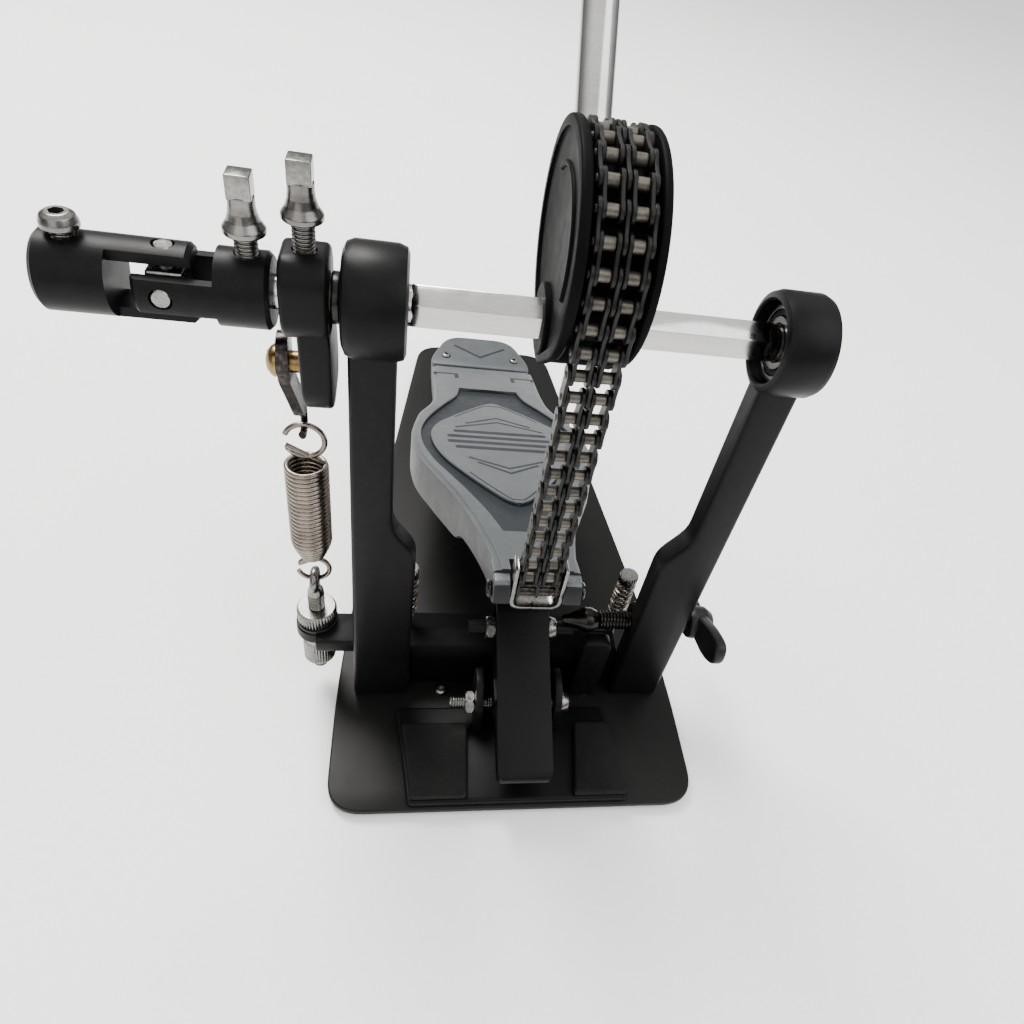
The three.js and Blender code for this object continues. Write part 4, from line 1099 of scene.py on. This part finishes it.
def add_spring():
    left, right = -80.2, -77.2

    def at(points):
        return [(y + SPRING_Y, z + HANGER_Z) for y, z in points]

    front = prism("x", fillet(at([
        (-4.6, 0), (-4.2, 7), (0, 9), (4.2, 7), (4.6, 0), (3.6, -10), (3.4, -16.4),
        (-3.4, -16.4), (-3.6, -10),
    ]), 2.4, 6), left - 1, right + 5, 0)
    lean = [
        (left, 10), (right, 10), (right, -4), (SPRING_X + 1.4, -16.8), (SPRING_X - 1.4, -16.8), (left, -4),
    ]
    lean = prism("y", fillet([(x, z + HANGER_Z) for x, z in lean], 1.2, 5), SPRING_Y - 6, SPRING_Y + 6)
    plate = combined(front, [lean], "INTERSECT")
    plate = cut(bevelled(plate, 0.6, 3, 40), rod("x", 3.1, left - 3, right + 3, SPRING_Y, HANGER_Z, 0))
    hooked = [
        (2.2, -15.4), (2.4, -18.5), (2.4, -21.4), (1.5, -23.0), (-0.3, -23.3), (-2.2, -23.2), (-3.2, -22.1),
    ]
    bend = smooth_curve([(SPRING_X, SPRING_Y + y, HANGER_Z + z) for y, z in hooked], 5)
    hook = joined(plate, sweep(bend, 1.05, 14))
    piece("hanger_hook", hook, BLACK_CHROME, "hanger", "spring_hanger")
    dome = lathe("x", [
        (0, -83.4), (1.4, -83.35), (2.6, -83.0), (3.8, -82.1), (4.4, -81.2), (4.4, left - 0.3),
        (2.9, left - 0.3), (2.9, -73.4), (0, -73.4),
    ], SPRING_Y, HANGER_Z, 48)
    slot = box((-85, -82.7), (SPRING_Y - 0.5, SPRING_Y + 0.5), (HANGER_Z - 6, HANGER_Z + 6), 0)
    piece("hanger_stud", cut(dome, slot), BRASS, "hanger", "hanger_pivot")

    # One wire: lower ring, close coil, upper ring.
    wire, radius = 0.84, 5.75
    low, high, turns = 71.5, 112.5, 24
    ring_low, ring_high = 65.0, 121.1
    path = open_ring(5.2, 5.2, ring_low, -75, 320, 25)
    path += coil_points(radius, low, high, turns, SPRING_X, SPRING_Y, 28, 3.0, 5.0)
    path += open_ring(5.7, 5.9, ring_high, -70, 318, 27)
    coil = piece(
        "coil_spring", sweep(path, wire, 12), SPRING_WIRE, None,
        ("return_spring", "spring_top_ring"),
    )
    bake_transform(coil)

    eye_path = [(SPRING_X, y, z) for y, z in circle(3.4, SPRING_Y, EYE_Z - 1, 48)]
    eye = joined(
        sweep(eye_path, 1.5, 16, closed=True),
        lathe("z", [(0, 52), (2.9, 52), (2.6, 54), (1.9, 55.2), (0, 55.6)], SPRING_X, SPRING_Y, 40),
        thread("z", 2.9, 10, 52.2, SPRING_X, SPRING_Y, 0.95, 0.42),
    )
    piece("threaded_eye", eye, NICKEL, "base", "eye_bolt")
    ring = washer("z", 3.3, 7.3, LUG_HIGH, LUG_HIGH + 1.2, SPRING_X, SPRING_Y)
    piece("plastic_washer", ring, PLASTIC, "base", "lug_washer")
    upper = knurl("z", 7.0, LUG_HIGH + 1.4, LUG_HIGH + 7.4, SPRING_X, SPRING_Y, 40, 0.4, 0.7)
    piece("upper_knurled", upper, NICKEL, "base", "upper_knurled_nut")
    lower = joined(
        knurl("z", 5.8, 15, 26.5, SPRING_X, SPRING_Y, 34, 0.35, 0.6),
        rod("z", 5.2, 26, LUG_LOW - 0.3, SPRING_X, SPRING_Y, 0.4),
    )
    piece("lower_knurled", lower, NICKEL, "tension_nut", "lower_knurled_nut")


# ------------------------------------------------------------------ footboard

HINGE_Y, HINGE_Z = 204.0, 14.0
TOE_Y, TOE_Z = -19.8, 89.85
BOARD_LENGTH = math.hypot(HINGE_Y - TOE_Y, TOE_Z - HINGE_Z)
SLOPE = math.atan2(TOE_Z - HINGE_Z, HINGE_Y - TOE_Y)
BOARD_TOP = 7.0
FLOOR_Z = 5.4                        # bottom of the recess, in the board's own frame
WALL = 2.5
NOSE_S = 229.5                       # the two toe ears start here
EAR_IN, EAR_OUT = 8.6, 13.9
TOE_HOLE_R = 2.05
# The second finish is the dark recess paint; the third is painted shade for the side walls.
RECESS_FINISH, WALL_SHADE_FINISH = 1, 2    # places in the board's list of finishes

# (distance from the hinge, half width)
BOARD_SIDE = [
    (6, 28.6), (24, 28.5), (52, 28.2), (72, 30), (90, 36), (112, 39), (128, 39), (145, 36.5),
    (163, 30.4), (181, 24.2), (201, 18.8), (223, 14.6), (236, 13.9),
]
RECESS_SIDE = [
    (46, 15), (60, 17.5), (75, 24), (92, 30.5), (106, 34.2), (118, 35.2), (132, 34), (148, 30),
    (163, 24), (178, 18), (195, 12), (210, 8),
]
LEAF_SIDE = [
    (69, 0), (71, 3.5), (80, 11.5), (92, 20.5), (104, 28), (116, 31), (130, 30), (145, 26), (160, 19),
    (175, 10.5), (184, 4.5), (187, 0),
]
# (distance from the hinge, height of the lower edge of the side wall)
LOWER_EDGE = [(6, -1), (60, -5), (120, -8), (180, -9.5), (196, -5), (240, -4)]


def reading(curve):
    """A smooth function through (distance, value) points; None outside their span."""
    points = smooth_curve(curve, 8)

    def value(s):
        if s < points[0].x or s > points[-1].x:
            return None
        for one, two in zip(points, points[1:]):
            if one.x <= s <= two.x:
                t = (s - one.x) / max(two.x - one.x, 1e-9)
                return one.y + (two.y - one.y) * t
        return points[-1].y

    return value


def on_board(bm):
    """From the board's own frame, hinge at the origin and toe along -Y, to the scene."""
    place = Matrix.Translation((CENTRE, HINGE_Y, HINGE_Z)) @ Matrix.Rotation(-SLOPE, 4, "X")
    return moved(bm, place)


def board_section(half, lower, recess, leaf):
    """Right half of the board's section, as (x, z) from the middle of the top to the middle below."""
    rim_in = 0.0 if recess is None else recess
    leaf_half = 0.0 if leaf is None else leaf
    soft = 0.45
    sunk = BOARD_TOP if recess is None else FLOOR_Z
    under = 2.0
    points = []
    if leaf_half > soft:
        points += [(0, BOARD_TOP), (leaf_half - soft, BOARD_TOP), (leaf_half - 0.1, BOARD_TOP - soft),
                   (leaf_half, sunk)]
    else:
        points += [(0, sunk), (0.1, sunk), (0.2, sunk), (0.3, sunk)]
    edge = max(rim_in, 0.6)
    step = half - 2.6
    return points + [
        (edge - 0.1, sunk), (edge, BOARD_TOP if recess is None else BOARD_TOP - soft),
        (edge + soft, BOARD_TOP), (step, BOARD_TOP), (step + 0.25, BOARD_TOP - 0.5),
        (half - 1.1, BOARD_TOP - 0.5), (half - 0.3, BOARD_TOP - 0.9), (half, BOARD_TOP - 1.8),
        (half, lower + 0.5), (half - 0.5, lower), (half - WALL, lower), (half - WALL, under), (0, under),
    ]


def board_mesh():
    """A loft of cross sections from the heel to the toe."""
    half_at, recess_at, leaf_at, lower_at = map(reading, (BOARD_SIDE, RECESS_SIDE, LEAF_SIDE, LOWER_EDGE))
    first, last = BOARD_SIDE[0][0], BOARD_SIDE[-1][0]
    spans = 184
    stations = [first + k * (last - first) / spans for k in range(spans + 1)]
    for curve in (RECESS_SIDE, LEAF_SIDE):
        for end, inside in ((curve[0][0], 1), (curve[-1][0], -1)):
            stations += [end - 0.02 * inside, end + 0.02 * inside, end + 0.5 * inside]
    stations = sorted(set(stations))
    bm = bmesh.new()
    rows = []
    for s in stations:
        section = board_section(half_at(s), lower_at(s), recess_at(s), leaf_at(s))
        right = [bm.verts.new((x, -s, z)) for x, z in section]
        left = [bm.verts.new((-x, -s, z)) if x else right[i] for i, (x, z) in enumerate(section)]
        rows.append((s, section, right, left))
    for (s, section, right, left), (_, _, right2, left2) in zip(rows, rows[1:]):
        sunk = recess_at(s) is not None
        for i in range(len(section) - 1):
            dark = sunk and 2 <= i <= 5 and (section[i][1] <= FLOOR_Z or section[i + 1][1] <= FLOOR_Z)
            dark = dark or (sunk and i < 2 and section[i][1] <= FLOOR_Z)
            for a, b in ((right, right2), (left, left2)):
                add_face(bm, (a[i], a[i + 1], b[i + 1], b[i]), RECESS_FINISH if dark else 0)
    for _, _, right, left in (rows[0], rows[-1]):
        add_face(bm, right + list(reversed(left)))
    bmesh.ops.recalc_face_normals(bm, faces=bm.faces)
    return bm


def shade_walls_painted(bm):
    """Paints shade on the steep faces below the rim: they get their own, darker finish, a painted shade for
    side walls that face away from the light.
    """
    bm.normal_update()
    for face in bm.faces:
        steep = abs(face.normal.z) < 0.7
        below_rim = face.calc_center_median().z < BOARD_TOP - 0.6
        if steep and below_rim and face.material_index != RECESS_FINISH:
            face.material_index = WALL_SHADE_FINISH
    return bm


def stripe(points, width, low, high):
    """A mitred ribbon along points, in plan, from one height to another."""
    points = [Vector(p) for p in points]
    count = len(points)
    sides = ([], [])
    for i, point in enumerate(points):
        ahead = points[min(i + 1, count - 1)] - point
        behind = point - points[max(i - 1, 0)]
        way = ahead.normalized() if ahead.length else behind.normalized()
        back = behind.normalized() if behind.length else way
        mean = (way + back).normalized()
        normal = Vector((-mean.y, mean.x))
        reach = width / 2 / max(0.35, normal.dot(Vector((-way.y, way.x))))
        sides[0].append(tuple(point + normal * reach))
        sides[1].append(tuple(point - normal * reach))
    return prism("z", sides[0] + list(reversed(sides[1])), low, high)


def leaf_line(inset, start, end):
    """Points of the leaf's right edge moved inwards, from one distance to another."""
    leaf_at = reading(LEAF_SIDE)
    right = []
    steps = 16
    for k in range(steps + 1):
        s = start + (end - start) * k / steps
        half = leaf_at(s)
        if half is not None and half - inset > 0:
            right.append((half - inset, -s))
    return right


def add_footboard():
    nose = box((-EAR_IN, EAR_IN), (-250, -NOSE_S), (-12, 14), 0)
    shell = shade_walls_painted(cut(board_mesh(), nose))
    ears, ear_shade_blocks = [], []
    for side in (-1, 1):
        x = ordered(side * EAR_IN, side * EAR_OUT)
        ear = prism("x", fillet([
            (-BOARD_LENGTH - 4, -3), (-BOARD_LENGTH - 4, 4.5), (-233, BOARD_TOP - 0.6),
            (-226, BOARD_TOP - 0.6), (-226, -3), (-BOARD_LENGTH + 4, -4.5), (-BOARD_LENGTH, -5),
        ], 2.4, 6), *x, 0.6, 3)
        ears.append(cut(ear, rod("x", TOE_HOLE_R, x[0] - 3, x[1] + 3, -BOARD_LENGTH, 0, 0)))
        # Black blocks under the ears and on their fronts: painted shade for the toe's dark underside and
        # front, which are silver casting in shadow.
        block_x = ordered(side * (EAR_IN + 0.4), side * (EAR_OUT - 0.4))
        ear_shade_blocks.append(box(block_x, (-231, -222), (-4.4, 2.2), 0.5))
    knuckle = joined(
        rod("x", 4, -13, 13, 0, 0, 0.5), box((-13, 13), (-9, 0), (-1.5, 4), 0.4),
    )
    knuckle = cut(knuckle, rod("x", 1.8, -20, 20, 0, 0, 0))
    body = joined(shell, *ears, knuckle)
    # The third finish, a darker grey on the side walls, is painted shade.
    piece("board_casting", on_board(body), SILVER, "footboard", "footboard", 30.0,
          (RECESS, WALL_PAINTED_SHADE))
    # The black plates on the ears' fronts are painted shade as well.
    toe_shade_face = []
    for side in (-1, 1):
        face_x = ordered(side * (EAR_IN + 0.1), side * (EAR_OUT - 0.1))
        toe_shade_face.append(box(face_x, (-BOARD_LENGTH - 4.4, -BOARD_LENGTH - 3.2), (-2.8, 3.6), 0.3))
    piece("board_toe_shade_blocks", on_board(joined(*ear_shade_blocks, *toe_shade_face)), PLASTIC, "footboard")

    # Generic line work: outlines that follow the leaf, chevrons at its ends, plain bars between.
    marks = []
    top = (BOARD_TOP - 0.2, BOARD_TOP + 0.05)
    for start, end in ((74, 94), (160, 184)):
        edge = leaf_line(2.4, start, end)
        mirrored = [(-x, y) for x, y in edge]
        tip_first = start < 100
        line = list(reversed(mirrored)) + edge if tip_first else edge + list(reversed(mirrored))
        marks.append(stripe(line, 0.7, *top))
    for s, reach in ((97, 15), (103, 20)):
        marks.append(stripe([(-reach, -s - 5), (0, -s + 5), (reach, -s - 5)], 1.3, *top))
    for s, reach in ((149, 16), (154, 12.5)):
        marks.append(stripe([(-reach, -s + 5), (0, -s - 5), (reach, -s + 5)], 1.3, *top))
    for s, reach in ((113, 21), (119.5, 24), (126, 24), (132.5, 21)):
        marks.append(prism("z", fillet([
            (-reach, -s - 1.6), (reach, -s - 1.6), (reach, -s + 1.6), (-reach, -s + 1.6),
        ], 1.5, 5), *top))
    for side in (-1, 1):
        corner = [(side * 28.0, -20), (side * 15.5, -20), (side * 15.5, -28)]
        marks.append(stripe(corner if side > 0 else list(reversed(corner)), 2.2, *top))
    piece("board_line_work", on_board(joined(*marks)), RECESS, "footboard")

    pin = joined(
        rod("x", 1.9, -15.2, 15.2, -BOARD_LENGTH, 0, 0.3, 40),
        rod("x", 3, -15.5, -14.1, -BOARD_LENGTH, 0, 0.5, 40),
        rod("x", 3, 14.1, 15.5, -BOARD_LENGTH, 0, 0.5, 40),
    )
    piece("toe_clevis_pin", on_board(pin), BLACK_CHROME, "footboard", "toe_pin")

    outer = fillet([(-8.3, 13, 1.6), (-8.3, -6, 4), (8.3, -6, 4), (8.3, 13, 1.6)], 1, 8)
    inner = fillet([(-7.2, 18, 0), (-7.2, -4.8, 3), (7.2, -4.8, 3), (7.2, 18, 0)], 1, 8)
    rim, opening = [[(x + CENTRE, z + TOE_Z) for x, z in line] for line in (outer, inner)]
    stirrup = cut(
        prism("y", rim, TOE_Y - 3.2, TOE_Y + 3.2, 0.3, 2),
        prism("y", opening, TOE_Y - 9, TOE_Y + 9),
        rod("x", TOE_HOLE_R, -30, 30, TOE_Y, TOE_Z, 0),
    )
    piece("chain_stirrup", stirrup, NICKEL, "chain_free", "toe_stirrup")


def add_heel():
    outline = fillet([
        (28.5, HINGE_Y + 5, 3), (28.5, HINGE_Y + 12, 5), (19, HINGE_Y + 36, 10),
        (-19, HINGE_Y + 36, 10), (-28.5, HINGE_Y + 12, 5), (-28.5, HINGE_Y + 5, 3),
    ], 3, 8)
    high = HINGE_Z + 4.5
    plate = shifted(prism("z", outline, PLATE_HIGH, high, 1.3, 4), CENTRE)
    solids = [plate]
    for low_x, high_x in ((-28, -13.4), (13.4, 28)):
        ends = (low_x + CENTRE, high_x + CENTRE)
        barrel = joined(
            rod("x", 4, *ends, HINGE_Y, HINGE_Z, 0.5),
            box(ends, (HINGE_Y, HINGE_Y + 8), (HINGE_Z - 4, HINGE_Z + 3.5), 0.4),
        )
        solids.append(cut(barrel, rod("x", 1.8, -50, 50, HINGE_Y, HINGE_Z, 0)))
    piece("heel_casting", joined(*solids), SILVER, "base", "heel_plate")
    chevron = [(CENTRE - 15, HINGE_Y + 26), (CENTRE, HINGE_Y + 15), (CENTRE + 15, HINGE_Y + 26)]
    piece("heel_line_work", stripe(chevron, 1.6, high - 0.2, high + 0.05), RECESS, "base")
    screws = []
    for side in (-1, 1):
        screws.append(pan_head("z", 2.6, high - 0.3, high + 1.4, CENTRE + side * 20, HINGE_Y + 14))
    piece("heel_screws", joined(*screws), NICKEL, "base")
    pin = rod("x", 1.6, CENTRE - 28.5, CENTRE + 28.5, HINGE_Y, HINGE_Z, 0.3, 40)
    piece("hinge_rod", pin, NICKEL, "base", "hinge_pin")


# ------------------------------------------------------------------ stage


def add_stage():
    mesh = bpy.data.meshes.new("floor")
    reach = 6.0
    corners = [(-reach, -reach, 0), (reach, -reach, 0), (reach, reach, 0), (-reach, reach, 0)]
    mesh.from_pydata(corners, [], [(0, 1, 2, 3)])
    mesh.materials.append(FLOOR)
    floor = bpy.data.objects.new("floor", mesh)
    bpy.context.collection.objects.link(floor)

    world = bpy.data.worlds.new("studio")
    world.use_nodes = True
    tree = world.node_tree
    background = tree.nodes["Background"]
    background.inputs["Strength"].default_value = 1.25
    place = tree.nodes.new("ShaderNodeTexCoord")
    split = tree.nodes.new("ShaderNodeSeparateXYZ")
    ramp = tree.nodes.new("ShaderNodeValToRGB")
    stops = ramp.color_ramp.elements
    stops[0].position, stops[0].color = 0.0, (0.16, 0.16, 0.17, 1)
    stops[1].position, stops[1].color = 0.75, (1.25, 1.24, 1.22, 1)
    stops.new(0.3).color = (0.36, 0.36, 0.37, 1)
    tree.links.new(place.outputs["Generated"], split.inputs["Vector"])
    tree.links.new(split.outputs["Z"], ramp.inputs["Fac"])
    tree.links.new(ramp.outputs["Color"], background.inputs["Color"])
    bpy.context.scene.world = world

    def lamp(name, place, power, size, colour):
        light = bpy.data.lights.new(name, "AREA")
        light.energy = power
        light.size = size
        light.color = colour
        item = bpy.data.objects.new(name, light)
        item.location = place
        target = Vector((0, 0.06, 0.09)) - Vector(place)
        item.rotation_euler = target.to_track_quat("-Z", "Y").to_euler()
        bpy.context.collection.objects.link(item)

    lamp("key", (-0.5, 0.8, 1.4), 50, 0.7, (1, 0.98, 0.95))
    lamp("fill", (0.9, -0.5, 1.1), 13, 1.2, (0.93, 0.96, 1))
    lamp("front", (-0.5, -1.1, 0.7), 5, 1.0, (1, 0.97, 0.93))


def add_camera():
    data = bpy.data.cameras.new("camera")
    data.sensor_width = 36
    data.lens = 26.67
    data.shift_x = -0.0442
    data.shift_y = 0.0271
    data.clip_start = 0.01
    item = bpy.data.objects.new("camera", data)
    back = Vector((-0.2047, -0.6797, 0.7043)).normalized()
    right = Vector((0.9779, -0.1113, 0.1768))
    right = (right - back * right.dot(back)).normalized()
    up = back.cross(right)
    turn = Matrix((right, up, back)).transposed().to_4x4()
    item.matrix_world = Matrix.Translation(Vector((-47.23, -171.27, 269.86)) * MM) @ turn
    bpy.context.collection.objects.link(item)
    bpy.context.scene.camera = item


add_base()
both(add_post)
both(add_bearing)
add_jaws()
add_clamp_bracket()
add_clamp_arm()
add_clamp_screw()
both(add_spur)
add_axle()
add_rocker()
add_universal_joint()
add_cam()
add_chain()
add_spring()
add_footboard()
add_heel()
add_stage()
add_camera()
